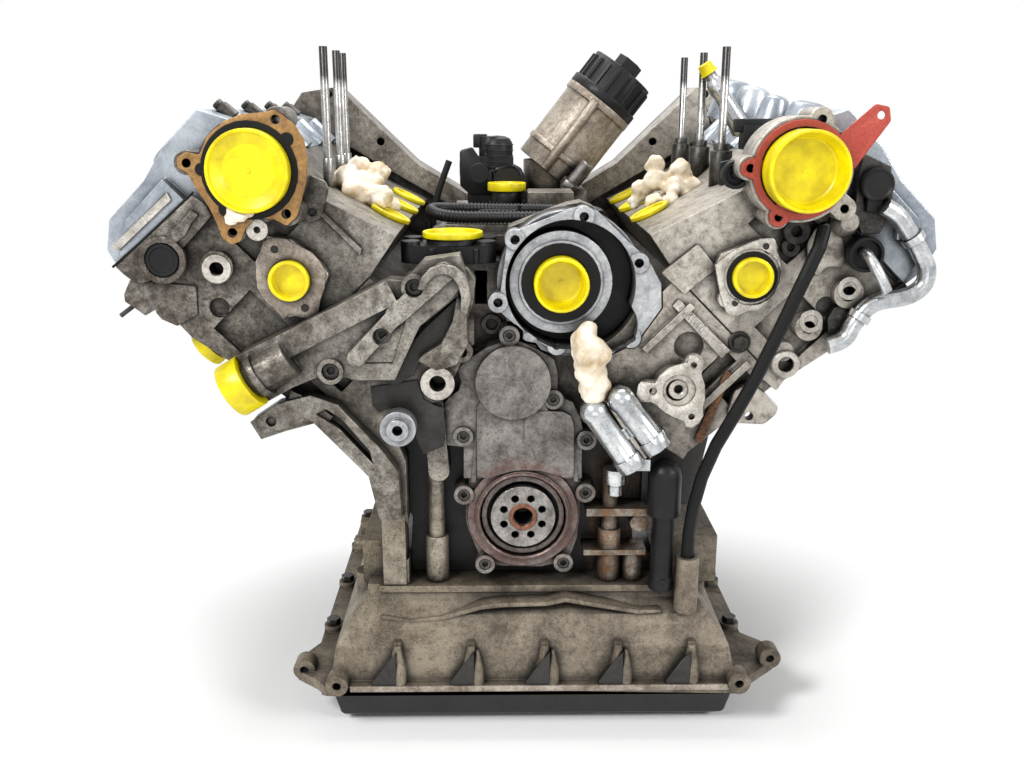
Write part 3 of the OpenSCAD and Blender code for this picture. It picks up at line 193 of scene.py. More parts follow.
def seal_stain(tree, place, base, mottle):
    """Reddish rust that has crept out round the crankshaft seal."""
    flat = node(tree, "VectorMath", {"operation": "MULTIPLY"}, i0=place, i1=(1, 0, 1)).outputs[0]
    away = node(tree, "VectorMath", {"operation": "LENGTH"}, i0=flat).outputs["Value"]
    share = times(tree, ramp(tree, away, 0.030, 0.037), ramp(tree, away, 0.044, 0.056, 1.0, 0.0),
                  ramp(tree, mottle, 0.38, 0.62, 0.1, 0.75))
    return blend_colour(tree, share, base, colour("#6f463d"))


def painted_depth_shade(tree, place, base, mottle):
    """The pump's inside painted near black as shade, deeper than the machined face."""
    return blend_colour(tree, ramp(tree, axes(tree, place)[1], 0.009, 0.024), base, colour("#232326"))


def sand_dirt(tree, place, base, mottle):
    """Road sand baked on low down, thickest at the left foot."""
    x, _, z = axes(tree, place)
    share = times(tree, ramp(tree, z, -0.085, -0.03, 0.35, 1.0), ramp(tree, z, -0.01, 0.03, 1.0, 0.0),
                  ramp(tree, x, -0.07, -0.03, 1.0, 0.08),
                  ramp(tree, patches(tree, place, 1.7, 3.0, 0.8), 0.47, 0.6, 0.0, 0.85))
    return blend_colour(tree, share, base, colour("#978a70"))


def side_tones(tree, place, base, mottle):
    """The castings are paler higher up on the right, and darker to the left."""
    x, _, z = axes(tree, place)
    right = times(tree, ramp(tree, x, 0.08, 0.13, 0.0, 0.6), ramp(tree, z, 0.04, 0.09),
                  ramp(tree, mottle, 0.42, 0.62, 1.0, 0.25))
    base = blend_colour(tree, right, base, colour("#d6cec2"))
    left = times(tree, ramp(tree, x, -0.24, -0.12, 0.75, 0.0), ramp(tree, mottle, 0.4, 0.58, 0.35, 1.0))
    return blend_colour(tree, left, base, colour("#352c25"))


def block_dirt_and_shade(tree, place, base, mottle):
    """Sand low down, painted shade near black in the deep front recess, and rust on the posts at the right.
    """
    base = sand_dirt(tree, place, side_tones(tree, place, base, mottle), mottle)
    x, y, z = axes(tree, place)
    # Painted shade: the deep front recess goes near black
    oil = times(tree, ramp(tree, y, 0.014, 0.023), ramp(tree, z, 0.085, 0.12, 1.0, 0.0))
    base = blend_colour(tree, oil, base, colour("#1d1c1d"))
    rust = times(tree, ramp(tree, x, 0.055, 0.06), ramp(tree, z, 0.03, 0.05, 1.0, 0.0),
                 ramp(tree, mottle, 0.44, 0.6, 0.0, 0.8), ramp(tree, y, 0.035, 0.06, 1.0, 0.0))
    return blend_colour(tree, rust, base, colour("#7d5634"))


def two_gaskets(tree, place, base, mottle):
    """The right-hand gasket is coated red, the left-hand one tan."""
    red = blend_colour(tree, ramp(tree, mottle, 0.4, 0.65), colour("#b4483f"), colour("#8a3a26"))
    return blend_colour(tree, ramp(tree, axes(tree, place)[0], -0.001, 0.001), base, red)


def thread_tops(tree, place, base, mottle):
    """The rods' threaded tops, dark with thread oil."""
    return blend_colour(tree, ramp(tree, axes(tree, place)[2], 0.352, 0.362), base, colour("#3d3b3a"))


# Sand-cast aluminium, oily and brown with age: dull, mottled, black in its corners with grime and painted
# shade
BLOCK = metal("sand cast aluminium block", "#a8a196", "#554e45", "#2b231b", metallic=0.55, rough=(0.28, 0.52),
              stain=0.75, speck=0.7, blotch_mm=42.0, grain=0.5, extra=block_dirt_and_shade)
# The same alloy on the heads, a little cleaner
HEAD = metal("sand cast aluminium head", "#aba69c", "#575048", "#2c251e", metallic=0.58, rough=(0.27, 0.5),
             stain=0.75, speck=0.65, blotch_mm=42.0, grain=0.45, extra=side_tones)
# Gravity-cast sump frame that has caught the most road dirt
PAN = metal("cast aluminium sump frame", "#8d8272", "#4d4437", "#2a2219", metallic=0.3, rough=(0.42, 0.68),
            stain=0.65, speck=0.6, blotch_mm=60.0, grain=0.45, extra=sand_dirt)
# Die-cast front cover, darker and finer than the block
COVER = metal("die cast aluminium cover", "#8f8a85", "#524d49", "#2d2623", metallic=0.55, rough=(0.28, 0.5),
              grain_mm=0.8, grain=0.25, blotch_mm=26.0, stain=0.5, speck=0.5, extra=seal_stain)
# Die-cast cam cover, smooth and bluish, with a soft shine
CAM_COVER = metal("die cast cam cover", "#c5ccd3", "#858d97", "#5b5a58", metallic=0.65, rough=(0.22, 0.4),
                  grain_mm=0.9, grain=0.1, blotch_mm=70.0, stain=0.22, speck=0.12, crevice_dirt_and_shade_mm=7.0,
                  crevice_dirt_and_shade=0.7)
# Pump housing, a paler casting with a machined face, painted near black inside as shade
HOUSING = metal("machined pump casting", "#bcbebf", "#83858a", "#4a453f", metallic=0.75, rough=(0.26, 0.48),
                grain_mm=0.8, grain=0.2, blotch_mm=30.0, stain=0.35, speck=0.25, extra=painted_depth_shade)
# The oil filter housing, bare and mottled tan
FILTER = metal("bare filter casting", "#b7ada0", "#7b6f63", "#4b3c30", metallic=0.6, rough=(0.36, 0.6),
               grain_mm=0.9, grain=0.3, blotch_mm=24.0, stain=0.55, speck=0.5)
# Faces milled flat on bosses and flanges: pale, clean and fine
MILLED = metal("milled aluminium face", "#d8d3ca", "#a49d93", "#5c5044", metallic=0.75, rough=(0.22, 0.4),
               grain_mm=0.5, grain=0.08, blotch_mm=18.0, stain=0.45, speck=0.3, crevice_dirt_and_shade_mm=4.0, crevice_dirt_and_shade=0.6)
# Bright drawn alloy pipe
BRIGHT = metal("bright alloy pipe", "#dfe1e2", "#a4a8ab", "#5f5951", metallic=0.9, rough=(0.14, 0.32),
               grain_mm=0.8, grain=0.08, blotch_mm=30.0, stain=0.3, speck=0.25, crevice_dirt_and_shade_mm=6.0, crevice_dirt_and_shade=0.7)
# Turned and ground steel
STEEL = metal("turned steel", "#a9a6a2", "#6f6b67", "#4d3a30", metallic=0.9, rough=(0.22, 0.42), grain_mm=0.6,
              grain=0.1, blotch_mm=14.0, stain=0.45, speck=0.3, crevice_dirt_and_shade_mm=4.0, crevice_dirt_and_shade=0.7)
# Long rods in the same steel, their threaded tops dark
ROD = metal("threaded rod steel", "#b4b3b0", "#85827e", "#4f4841", metallic=0.9, rough=(0.2, 0.4),
            grain_mm=0.7, grain=0.1, blotch_mm=20.0, stain=0.35, speck=0.2, crevice_dirt_and_shade_mm=3.0, crevice_dirt_and_shade=0.6,
            extra=thread_tops)
# Plated screw steel gone dark
DARK_STEEL = metal("blackened screw steel", "#5c5955", "#31302e", "#231d18", metallic=0.8, rough=(0.3, 0.5),
                   grain_mm=0.6, grain=0.1, blotch_mm=10.0, stain=0.4, speck=0.3, crevice_dirt_and_shade_mm=3.0, crevice_dirt_and_shade=0.6)
# Copper ring in the crankshaft's end, and rust in the same brown
COPPER = metal("tarnished copper", "#966a55", "#6b4838", "#3e2419", metallic=0.9, rough=(0.3, 0.5),
               grain_mm=0.6, grain=0.1, blotch_mm=8.0, stain=0.5, speck=0.3, crevice_dirt_and_shade_mm=3.0, crevice_dirt_and_shade=0.5)
# The same casting painted near black, for old oil and for painted shade in pockets, holes and under webs
OIL_AND_SHADE = metal("casting blackened by oil and painted shade", "#33302c", "#1e1b19", "#100e0c", metallic=0.25, rough=(0.3, 0.5),
             grain_mm=0.6, grain=0.3, blotch_mm=16.0, stain=0.5, speck=0.4)
# Rust on bare steel: orange brown and rough
RUST = metal("rusted steel", "#8b5d3c", "#58402f", "#2c2019", metallic=0.15, rough=(0.7, 0.95), grain_mm=1.2,
             grain=0.6, blotch_mm=9.0, stain=0.7, speck=0.6, crevice_dirt_and_shade_mm=4.0, crevice_dirt_and_shade=0.6)
# Pressed steel in black paint
BLACK_PAINT = metal("black painted steel", "#232324", "#101011", "#3a332b", metallic=0.1, rough=(0.24, 0.46),
                    grain_mm=1.5, grain=0.1, blotch_mm=50.0, stain=0.3, speck=0.3, crevice_dirt_and_shade_mm=8.0,
                    crevice_dirt_and_shade=0.6)
# Coated steel gaskets, tan on the left and red on the right
GASKET = metal("coated gasket steel", "#a9824c", "#7a5830", "#3a2a1c", metallic=0.35, rough=(0.4, 0.62),
               grain_mm=0.8, grain=0.1, blotch_mm=12.0, stain=0.4, speck=0.35, crevice_dirt_and_shade_mm=3.0, crevice_dirt_and_shade=0.6,
               extra=two_gaskets)
# Low-density polyethylene caps: bright yellow, waxy, a darker yellow in their hollows as painted shade
YELLOW = plastic("moulded polyethylene", "#eede00", "#c4b000", rough=0.36, grain_mm=3.0, grain=0.05, glow=0.1,
                 spec=0.45, crevice_dirt_and_shade=0.75)
# Glass-filled nylon, near black with a soft sheen
NYLON = plastic("glass filled nylon", "#161618", "#0a0a0b", rough=0.42, grain_mm=0.8, grain=0.12, glow=0.0,
                spec=0.28)
# Rubber seals and hose
RUBBER = plastic("vulcanised rubber", "#0f0f10", "#060607", rough=0.5, grain_mm=0.7, grain=0.1, glow=0.0,
                 spec=0.22)
# Pleated filter paper inside the housing
PAPER = plastic("filter paper", "#d8c48c", "#b79f66", rough=0.9, grain_mm=1.5, grain=0.2, glow=0.0, spec=0.2)
# Cream polyurethane foam, set in rounded lumps, open and matt, tan in its creases as painted shade
FOAM = plastic("polyurethane foam", "#f7f0e2", "#b29a74", rough=0.95, grain_mm=1.4, grain=0.6, glow=0.1,
               spec=0.1, crevice_dirt_and_shade=0.9)

# Each material with the width of its rounded edges in millimetres, and the CAD nodes that have both
FINISH = (
    (BLOCK, 0.6, "engine_block"),
    (BLOCK, 1.2, "timing_case"),
    (BLOCK, 0.9, "valley_cover"),
    (HEAD, 0.6, "head_left head_right"),
    (HEAD, 0.5, "coolant_arm"),
    (HEAD, 1.0, "left_bracket"),
    (PAN, 0.5, "upper_pan"),
    (BLACK_PAINT, 0.8, "lower_pan"),
    (COVER, 0.4, "seal_cover"),
    (COVER, 0.5, "timing_cover"),
    (CAM_COVER, 1.0, "cover_left cover_right"),
    (HOUSING, 0.5, "pump_housing"),
    (HOUSING, 0.7, "left_roller"),
    (HOUSING, 0.8, "oil_pump"),
    (FILTER, 0.8, "filter_housing"),
    (MILLED, 0.8, "port_flanges"),
    (GASKET, 0.3, "port_gaskets"),
    (STEEL, 0.0, "head_gaskets"),
    (STEEL, 0.2, "crank_sprocket idler_sprocket"),
    (STEEL, 0.3, "main_cap_bolts idler_pin cam_intake_left cam_exhaust_left cam_intake_right "
                 "cam_exhaust_right piston_l1 piston_l2 piston_l3 piston_r1 piston_r2 piston_r3"),
    (STEEL, 0.4, "pickup_pipe"),
    (STEEL, 0.5, "crankshaft"),
    (ROD, 0.3, "long_rods"),
    (DARK_STEEL, 0.2, "timing_chains"),
    (DARK_STEEL, 0.4, "pan_bolts socket_screws exhaust_studs"),
    (DARK_STEEL, 0.5, "main_caps"),
    (DARK_STEEL, 0.6, "rod_sockets side_plate"),
    (BRIGHT, 0.7, "coolant_pipes"),
    (BRIGHT, 0.0, "pipe_loop"),
    (YELLOW, 0.7, "small_caps"),
    (YELLOW, 0.9, "pump_cap port_cap_left port_cap_right"),
    (NYLON, 0.5, "pressure_tube"),
    (NYLON, 0.6, "filter_cap"),
    (NYLON, 0.8, "cam_plugs breather thermostat"),
    (NYLON, 0.0, "conduit"),
    (RUBBER, 0.4, "crank_seals"),
    (RUBBER, 0.0, "guide_tube"),
    (PAPER, 0.0, "filter_element"),
    (FOAM, 0.0, "foam_plugs"))


def dress(name, material, edge_mm):
    """Gives a CAD node its material and rounds its hard edges, leaving its mesh alone."""
    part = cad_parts[name]
    part.data.materials.clear()
    part.data.materials.append(material)
    if not edge_mm:
        return
    weld = part.modifiers.new("joined faces", "WELD")
    weld.merge_threshold = 0.002 * MM
    flat = part.modifiers.new("flat faces", "DECIMATE")
    flat.decimate_type = "DISSOLVE"
    flat.angle_limit = math.radians(0.8)
    edge = part.modifiers.new("rounded edges", "BEVEL")
    edge.width = edge_mm * MM
    edge.segments = 2
    edge.limit_method = "ANGLE"
    edge.angle_limit = math.radians(34)
    edge.use_clamp_overlap = False
    edge.harden_normals = True


for material, edge_mm, names in FINISH:
    for name in names.split():
        dress(name, material, edge_mm)


# Pieces made here, in millimetres
def add(made, body):
    """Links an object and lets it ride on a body."""
    bpy.context.collection.objects.link(made)
    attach(made, body)
    return made


def finish_shape(shape, name, material, body="engine", smooth=SMOOTH_DEG):
    """Turns a millimetre bmesh into an object in metres that rides on a body."""
    bmesh.ops.remove_doubles(shape, verts=shape.verts, dist=0.001)
    bmesh.ops.recalc_face_normals(shape, faces=shape.faces)
    bmesh.ops.scale(shape, vec=(MM, MM, MM), verts=shape.verts)
    mesh = bpy.data.meshes.new(name)
    shape.to_mesh(mesh)
    shape.free()
    mesh.shade_smooth()
    mesh.set_sharp_from_angle(angle=math.radians(smooth))
    mesh.materials.append(material)
    return add(bpy.data.objects.new(name, mesh), body)


def piece(name, material, slot, *forms, body="engine", smooth=SMOOTH_DEG, replaces=None):
    """One object from forms, each a function with what it is given after the bmesh."""
    shape = bmesh.new()
    for form, *given in forms:
        form(shape, *given)
    made = finish_shape(shape, name, material, body, smooth)
    if replaces:
        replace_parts(made, replaces)


def facing(direction):
    """Turns the Z axis towards a direction."""
    return Vector(direction).normalized().to_track_quat("Z", "Y").to_matrix().to_4x4()


def turned(shape, profile, at, direction=FRONT, steps=32):
    """A turned form: profile is (radius, height) pairs, spun round the direction from the point at."""
    place = Matrix.Translation(at) @ facing(direction)
    dots = [shape.verts.new(place @ Vector((r, 0, h))) for r, h in profile]
    lines = [shape.edges.new(pair) for pair in zip(dots, dots[1:])]
    axis = place.to_3x3() @ Vector((0, 0, 1))
    bmesh.ops.spin(shape, geom=dots + lines, cent=Vector(at), axis=axis, angle=math.tau, steps=steps,
                   use_merge=True)
    bmesh.ops.remove_doubles(shape, verts=shape.verts, dist=0.002)


def edges_at(verts):
    """The edges at some vertices, in an order that is the same in every run."""
    return list(dict.fromkeys(e for v in verts for e in v.link_edges))


def round_edges(shape, edges, offset, segments=2):
    """Rounds edges by offset millimetres."""
    bmesh.ops.bevel(shape, geom=edges, offset=offset, segments=segments, profile=0.5, affect="EDGES",
                    material=-1)


def hexagon(shape, at, across, height, direction=FRONT, chamfer=0.8):
    """A six-sided head standing from the point at."""
    place = Matrix.Translation(at) @ facing(direction) @ Matrix.Translation((0, 0, height / 2))
    radius = across / 1.732
    new = bmesh.ops.create_cone(shape, cap_ends=True, segments=6, radius1=radius, radius2=radius,
                                depth=height, matrix=place)["verts"]
    round_edges(shape, edges_at(new), chamfer)


def block(shape, low, high, edge=1.0):
    """A block between two corners with rounded edges."""
    low, high = Vector(low), Vector(high)
    new = bmesh.ops.create_cube(shape, size=1.0)["verts"]
    bmesh.ops.scale(shape, vec=high - low, verts=new)
    bmesh.ops.translate(shape, vec=(low + high) / 2, verts=new)
    round_edges(shape, edges_at(new), edge)


def hull(shape, dots):
    """The convex lump round the given points."""
    bmesh.ops.convex_hull(shape, input=[shape.verts.new(dot) for dot in dots])


def plate(shape, outline, y0, y1, edge=0.6, corner=2.0, holes=()):
    """A flat outline in X and Z, with round holes (x, z, radius), carried from y0 to y1, rims rounded."""
    before = set(shape.verts)
    dots = [shape.verts.new((x, y0, z)) for x, z in outline]
    rim = [shape.edges.new(pair) for pair in zip(dots, dots[1:] + dots[:1])]
    for x, z, radius in holes:
        place = Matrix.Translation((x, y0, z)) @ Matrix.Rotation(math.pi / 2, 4, "X")
        loop = bmesh.ops.create_circle(shape, cap_ends=False, segments=20, radius=radius, matrix=place)
        rim += edges_at(loop["verts"])
    made = bmesh.ops.triangle_fill(shape, use_beauty=True, use_dissolve=False, edges=rim)["geom"]
    faces = [g for g in made if isinstance(g, bmesh.types.BMFace)]
    more = bmesh.ops.extrude_face_region(shape, geom=faces)["geom"]
    moved = [g for g in more if isinstance(g, bmesh.types.BMVert)]
    bmesh.ops.translate(shape, vec=(0, y1 - y0, 0), verts=moved)
    new = [v for v in shape.verts if v not in before]
    bmesh.ops.recalc_face_normals(shape, faces=list(dict.fromkeys(f for v in new for f in v.link_faces)))
    if corner:
        upright = [e for e in edges_at(new)
                   if abs(e.verts[0].co.y - e.verts[1].co.y) > 0.01 and e.calc_face_angle(0) > 0.5]
        round_edges(shape, upright, corner, 4)
    new = [v for v in shape.verts if v not in before]
    round_edges(shape, [e for e in edges_at(new) if e.calc_face_angle(0) > 0.8], edge)


def ring(shape, at, outer, inner, height, depth=1.5, edge=0.6, direction=FRONT, steps=28):
    """A boss or washer with a round hole, standing height proud of the point at."""
    turned(shape, [(inner, -depth), (inner, height - edge), (inner + edge, height), (outer - edge, height),
                   (outer, height - edge), (outer, -depth), (inner, -depth)], at, direction, steps)


def pipe(name, route, radius, material, steps=6):
    """A round pipe along a smooth route, with closed ends."""
    line = bpy.data.curves.new(name, "CURVE")
    line.dimensions = "3D"
    line.bevel_depth = radius * MM
    line.bevel_resolution = 6
    line.use_fill_caps = True
    points = smooth_route(route, steps)
    run = line.splines.new("POLY")
    run.points.add(len(points) - 1)
    for dot, point in zip(run.points, points):
        dot.co = (*(Vector(point) * MM), 1.0)
    run.use_smooth = True
    line.materials.append(material)
    return add(bpy.data.objects.new(name, line), "engine")


def smooth_route(route, steps=6):
    """Points along a curve that passes through every point of the route."""
    dots = [Vector(p) for p in route]
    out = []
    for i in range(len(dots) - 1):
        before, start, end, after = dots[max(i - 1, 0)], dots[i], dots[i + 1], dots[min(i + 2, len(dots) - 1)]
        for k in range(steps):
            t = k / steps
            out.append(0.5 * ((2 * start) + (end - before) * t
                              + (2 * before - 5 * start + 4 * end - after) * t * t
                              + (3 * start - before - 3 * end + after) * t * t * t))
    return out + [dots[-1]]


# Yellow transport caps, each turned with its own rim and recessed floor
def turned_cap(shape, at, rim, rise, floor, sunk, neck, plug):
    """A cap whose face stands rise above at, with a sloping inner wall down to a floor sunk below the rim."""
    low = rise - sunk
    turned(shape, [(AXIS, low + 0.8), (1.5, low + 0.8), (1.8, low), (floor, low), (floor + 1.2, low + 1),
                   (rim - 3.2, rise - 1.6), (rim - 2.4, rise), (rim - 0.8, rise), (rim, rise - 1), (rim, 0),
                   (neck, 0), (neck, -plug), (AXIS, -plug)], at, FRONT, 56)


for name, node_name, body, *sizes in (
        ("cap_left_port", "port_cap_left", "big_cap_left", (-203.2, -36, 290.6), 30.6, 10, 19.5, 6.5, 29, 20),
        ("cap_right_port", "port_cap_right", "big_cap_right", (205.5, -36, 290.7), 30, 22, 23, 17, 29, 20),
        ("cap_pump", "pump_cap", "big_cap_pump", (30, 20, 200), 22, 30, 15.5, 18, 18.6, 19)):
    piece(name, YELLOW, "transport_cap", (turned_cap, *sizes), body=body, replaces=node_name)


# Foam: lumps that swelled together, then puckered, in place of the plain solids. Each lump is a ball with
# smaller balls round it, skinned with cells of FOAM_CELL millimetres.
FOAM_BALLS = 5
FOAM_CELL = 1.3


def soften(shape, factor):
    """Draws each vertex towards its neighbours."""
    bmesh.ops.smooth_vert(shape, verts=shape.verts, factor=factor, use_axis_x=True, use_axis_y=True,
                          use_axis_z=True)


def foam_clump(name, lumps, seed, pucker_mm):
    """Lumps are (x, y, z, radius). The skin is folded in and out by up to pucker_mm."""
    draw = random.Random(seed)
    shape = bmesh.new()
    for x, y, z, radius in lumps:
        for _ in range(FOAM_BALLS):
            way = Vector((draw.uniform(-1, 1), draw.uniform(-1, 1), draw.uniform(-0.7, 1))).normalized()
            size = radius * draw.uniform(0.42, 0.66)
            spot = Vector((x, y, z)) + way * (radius * 1.02 - size)
            bmesh.ops.create_icosphere(shape, subdivisions=2, radius=size, matrix=Matrix.Translation(spot))
        bmesh.ops.create_icosphere(shape, subdivisions=3, radius=radius * 0.8,
                                   matrix=Matrix.Translation((x, y, z)))
    made = finish_shape(shape, name, FOAM, smooth=180)
    skin = made.modifiers.new("skin", "REMESH")
    skin.mode = "VOXEL"
    skin.voxel_size = FOAM_CELL * MM
    bpy.context.view_layer.update()
    whole = bpy.data.meshes.new_from_object(made.evaluated_get(bpy.context.evaluated_depsgraph_get()))
    made.modifiers.clear()
    rough = bmesh.new()
    rough.from_mesh(whole)
    soften(rough, 0.5)
    rough.normal_update()
    for v in rough.verts:
        fold = noise.fractal(v.co * 130.0, 0.8, 2.1, 4)
        v.co += v.normal * (pucker_mm * MM * fold - 0.4 * MM)
    soften(rough, 0.3)
    rough.to_mesh(made.data)
    rough.free()
    bpy.data.meshes.remove(whole)
    made.data.shade_smooth()
    return made


def make_foam():
    """The lumps' places are those of the foam solids."""
    left = [(-136, 110, 268, 17), (-146, 98, 262, 16), (-124, 92, 260, 14), (-144, 126, 282, 14),
            (-128, 120, 280, 13), (-116, 106, 252, 10), (-154, 108, 276, 14), (-150, 92, 254, 9)]
    right = [(124, 138, 272, 13), (139, 128, 266, 13), (112, 142, 263, 11), (124, 145, 285, 11.5),
             (146, 138, 281, 12), (120, 126, 253, 10), (106, 142, 252, 8), (134, 114, 254, 9.5),
             (156, 132, 268, 10), (150, 122, 257, 8)]
    hung = [(50, -13, 163, 10.5), (48, -13, 154, 14), (54, -14, 147, 17.2), (53, -14, 138, 16.6),
            (55, -14, 129, 16), (56, -15, 120, 15), (57, -15, 112, 13)]
    for name, lumps, seed, pucker in (
            ("foam_left", left, 3, 1.2), ("foam_right", right, 8, 1.1), ("foam_hung", hung, 5, 0.5)):
        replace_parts(foam_clump(name, lumps, seed, pucker), "foam_plugs")
    scrap = [(-217, -38, 262, 6.5), (-211, -39, 258, 6.5), (-219, -38, 255, 6), (-204, -40, 260, 5)]
    foam_clump("foam_scrap", scrap, 11, 0.6)


make_foam()


# Corrugated conduit, lying in the valley and coming back into the engine
CONDUIT_PITCH, CONDUIT_CREST, CONDUIT_ROOT = 3.4, 5.5, 4.6  # spacing and radii of its ridges


def make_conduit():
    z = 243.8
    route = [(46, 92, z), (30, 88, z), (0, 86, z), (-30, 86, z), (-56, 90, z), (-72, 100, z + 1),
             (-80, 116, z + 3), (-78, 134, z + 3), (-66, 148, z + 2), (-44, 156, z + 1), (-16, 160, z),
             (14, 158, z), (40, 148, z), (58, 134, z + 1), (67, 116, z + 1), (70, 98, z)]
    line = smooth_route(route, 40)
    walk = [0.0]
    for first, second in zip(line, line[1:]):
        walk.append(walk[-1] + (second - first).length)
    total = walk[-1]
    rings = int(total / CONDUIT_PITCH) * 4
    shape = bmesh.new()
    last = None
    at = 0
    for i in range(rings + 1):
        far = total * i / rings
        while at < len(walk) - 2 and walk[at + 1] < far:
            at += 1
        spot = line[at].lerp(line[at + 1], (far - walk[at]) / (walk[at + 1] - walk[at]))
        radius = CONDUIT_CREST if i % 4 in (1, 2) else CONDUIT_ROOT
        turn = facing(line[at + 1] - line[at])
        loop = bmesh.ops.create_circle(shape, cap_ends=i in (0, rings), segments=14, radius=radius,
                                       matrix=Matrix.Translation(spot) @ turn)["verts"]
        edges = [e for e in edges_at(loop) if len(set(e.verts) & set(loop)) == 2]
        if last:
            bmesh.ops.bridge_loops(shape, edges=last + edges)
        last = edges
    made = finish_shape(shape, "valley_conduit", NYLON, smooth=60)
    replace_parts(made, "conduit")


make_conduit()


# Seals on the front, and the ring in the crankshaft's end
piece("seal_port_left", RUBBER, "black_plastic",
      (ring, (-203.2, -36, 290.6), 36, 30.8, 0.7, 0.2),
      *[(turned, [(AXIS, 0.8), (r - 0.5, 0.8), (r, 0.3), (r, -0.1), (AXIS, -0.1)], (x, -36, z))
        for x, z, r in ((-174.5, 313, 5), (-238.5, 291.5, 4.6), (-222.5, 262.5, 5.5))])
piece("seals_small_flanges", RUBBER, "black_plastic",
      (ring, (-183.6, -10, 205.1), 17.4, 15.2, 1, 0.4),
      (ring, (179.6, -10, 206.8), 20.2, 15.2, 1, 0.4))
piece("seal_pump_nose", RUBBER, "black_plastic", (ring, (30, 4, 200), 32, 22.4, 0.8, 0.6))
piece("crank_centre_ring", COPPER, "machined_steel", (ring, (0, 0, 0), 12.2, 8.2, 0.8, 0.6), body="crank")


# Gaskets under the two large ports, cut as the real ones are
piece("gasket_left", GASKET, "tan_gasket",
      (plate, [(-182, 334), (-175, 329), (-168, 323), (-162, 313), (-160, 299), (-162, 282), (-166, 269),
       (-170, 257), (-178, 250), (-187, 255), (-201, 256), (-209, 248), (-213, 239), (-220, 236),
       (-227, 241), (-230, 252), (-235, 264), (-243, 277), (-249, 289), (-256, 293), (-256, 300),
       (-249, 304), (-239, 302), (-232, 316), (-219, 326), (-206, 331), (-191, 332)], -34, -36, 0.3, 1.5,
       [(-203.2, 290.6, 31.6), (-182, 327, 3.4),
       (-249, 296, 3.4), (-219, 245, 3.6), (-178, 259, 3.6)]), replaces="port_gaskets")
piece("gasket_right", GASKET, "tan_gasket",
      (ring, (205.5, -34, 290.7), 36.8, 31, 2, 0),
      (plate, [(176, 298), (168, 300), (160, 295), (160, 288), (168, 284), (174, 283)], -34.1, -35.9, 0.3, 1,
       [(166.9, 292, 3.2)]),
      (plate, [(190, 268), (183, 259), (184, 251), (192, 248), (198, 253), (206, 258)], -34.1, -35.9, 0.3, 1,
       [(190.4, 256, 3.2)]),
      (plate, [(228, 313), (256, 338), (266, 336), (268, 326), (243, 290), (234, 298)], -34.1, -35.9, 0.3,
       1.5, [(260.5, 330, 3)]), replaces="port_gaskets")


# Plugs at the camshaft ends, flush on the left, a cup with a pipe stub on the right
piece("plugs_cam_ends", NYLON, "black_plastic",
      (turned, [(AXIS, 4.2), (9.6, 4.2), (10.2, 5), (12.2, 5), (12.8, 4.3), (12.8, -0.3), (AXIS, -0.3)],
       (-281.5, -8, 221)),
      (turned, [(AXIS, 3.5), (11, 3.5), (11.6, 9), (13.2, 9), (14, 8.2), (14, -0.3), (AXIS, -0.3)],
       (266.5, -8, 225)), replaces="cam_plugs")
pipe("stub_right_plug", [(264.5, -10, 227), (265, -22, 226), (268, -30, 219), (273, -32, 210),
                         (279, -31, 199)], 4.3, BRIGHT)


# The bright pipe that loops round the head's right edge
loop_route = [(274, -23, 263), (286, -22, 255), (298, -20, 240), (309, -18, 224), (314, -18, 213),
              (312, -18, 201), (301, -18, 193), (281, -18, 189), (272, -18, 185), (266, -18, 179),
              (260, -18, 170), (256, -18, 161), (250, -18, 156), (241, -18, 153)]
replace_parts(pipe("loop_pipe", loop_route, 7, BRIGHT), "pipe_loop")
piece("loop_clips", BRIGHT, "bright_alloy",
      (ring, (300, -19.5, 238), 9.2, 6, 3.2, 3, 0.6, (0.62, 0, -0.78)),
      (ring, (264.5, -18, 176.5), 9, 6, 3, 3, 0.6, (-0.5, 0, -0.86)),
      (block, (258, -14, 167), (271, 1.5, 177), 1.5),
      (block, (289, -15, 236), (302, -6.5, 246), 1.5), replaces="pipe_loop")


# Cast forms on the head fronts
piece("forms_head_left", HEAD, "head_casting",
      (ring, (-281.5, -8, 221), 18.5, 13.4, 4.6, 0.5),
      (plate, [(-272, 233), (-262, 240), (-256, 250), (-250, 256), (-256, 260), (-265, 250), (-277, 240)],
       -8.1, -12),
      (plate, [(-172, 288), (-154, 281), (-151, 275), (-158, 252), (-168, 249), (-176, 256)], 0.1, -3, 0.8,
       1.5, [(-165, 257, 3.2)]),
      (plate, [(-159, 254), (-156, 257), (-127, 229), (-129, 223)], 0.1, -3.5, 0.6, 0.8),
      (plate, [(-319.3, 215.8), (-298.3, 233.5), (-274.6, 253.9), (-255.1, 271.1), (-245.8, 264.6),
       (-240.8, 255.1), (-256.8, 238.6), (-265.2, 230.2), (-293.4, 204.1), (-301.3, 202.4), (-308.8, 205.7),
       (-314.7, 210.9)], -7.5, -9.5, 0.8, 0),
      (plate, [(-311.5, 204.7), (-317.6, 192.5), (-317.6, 186.5), (-311.8, 182.5), (-302, 174.8),
       (-300.2, 179.8), (-294.5, 184.2), (-293.7, 177.5), (-289.7, 172.1), (-277.7, 166.5), (-260.3, 176),
       (-259.8, 199), (-296, 203.3)], 34, -2, 1, 0))
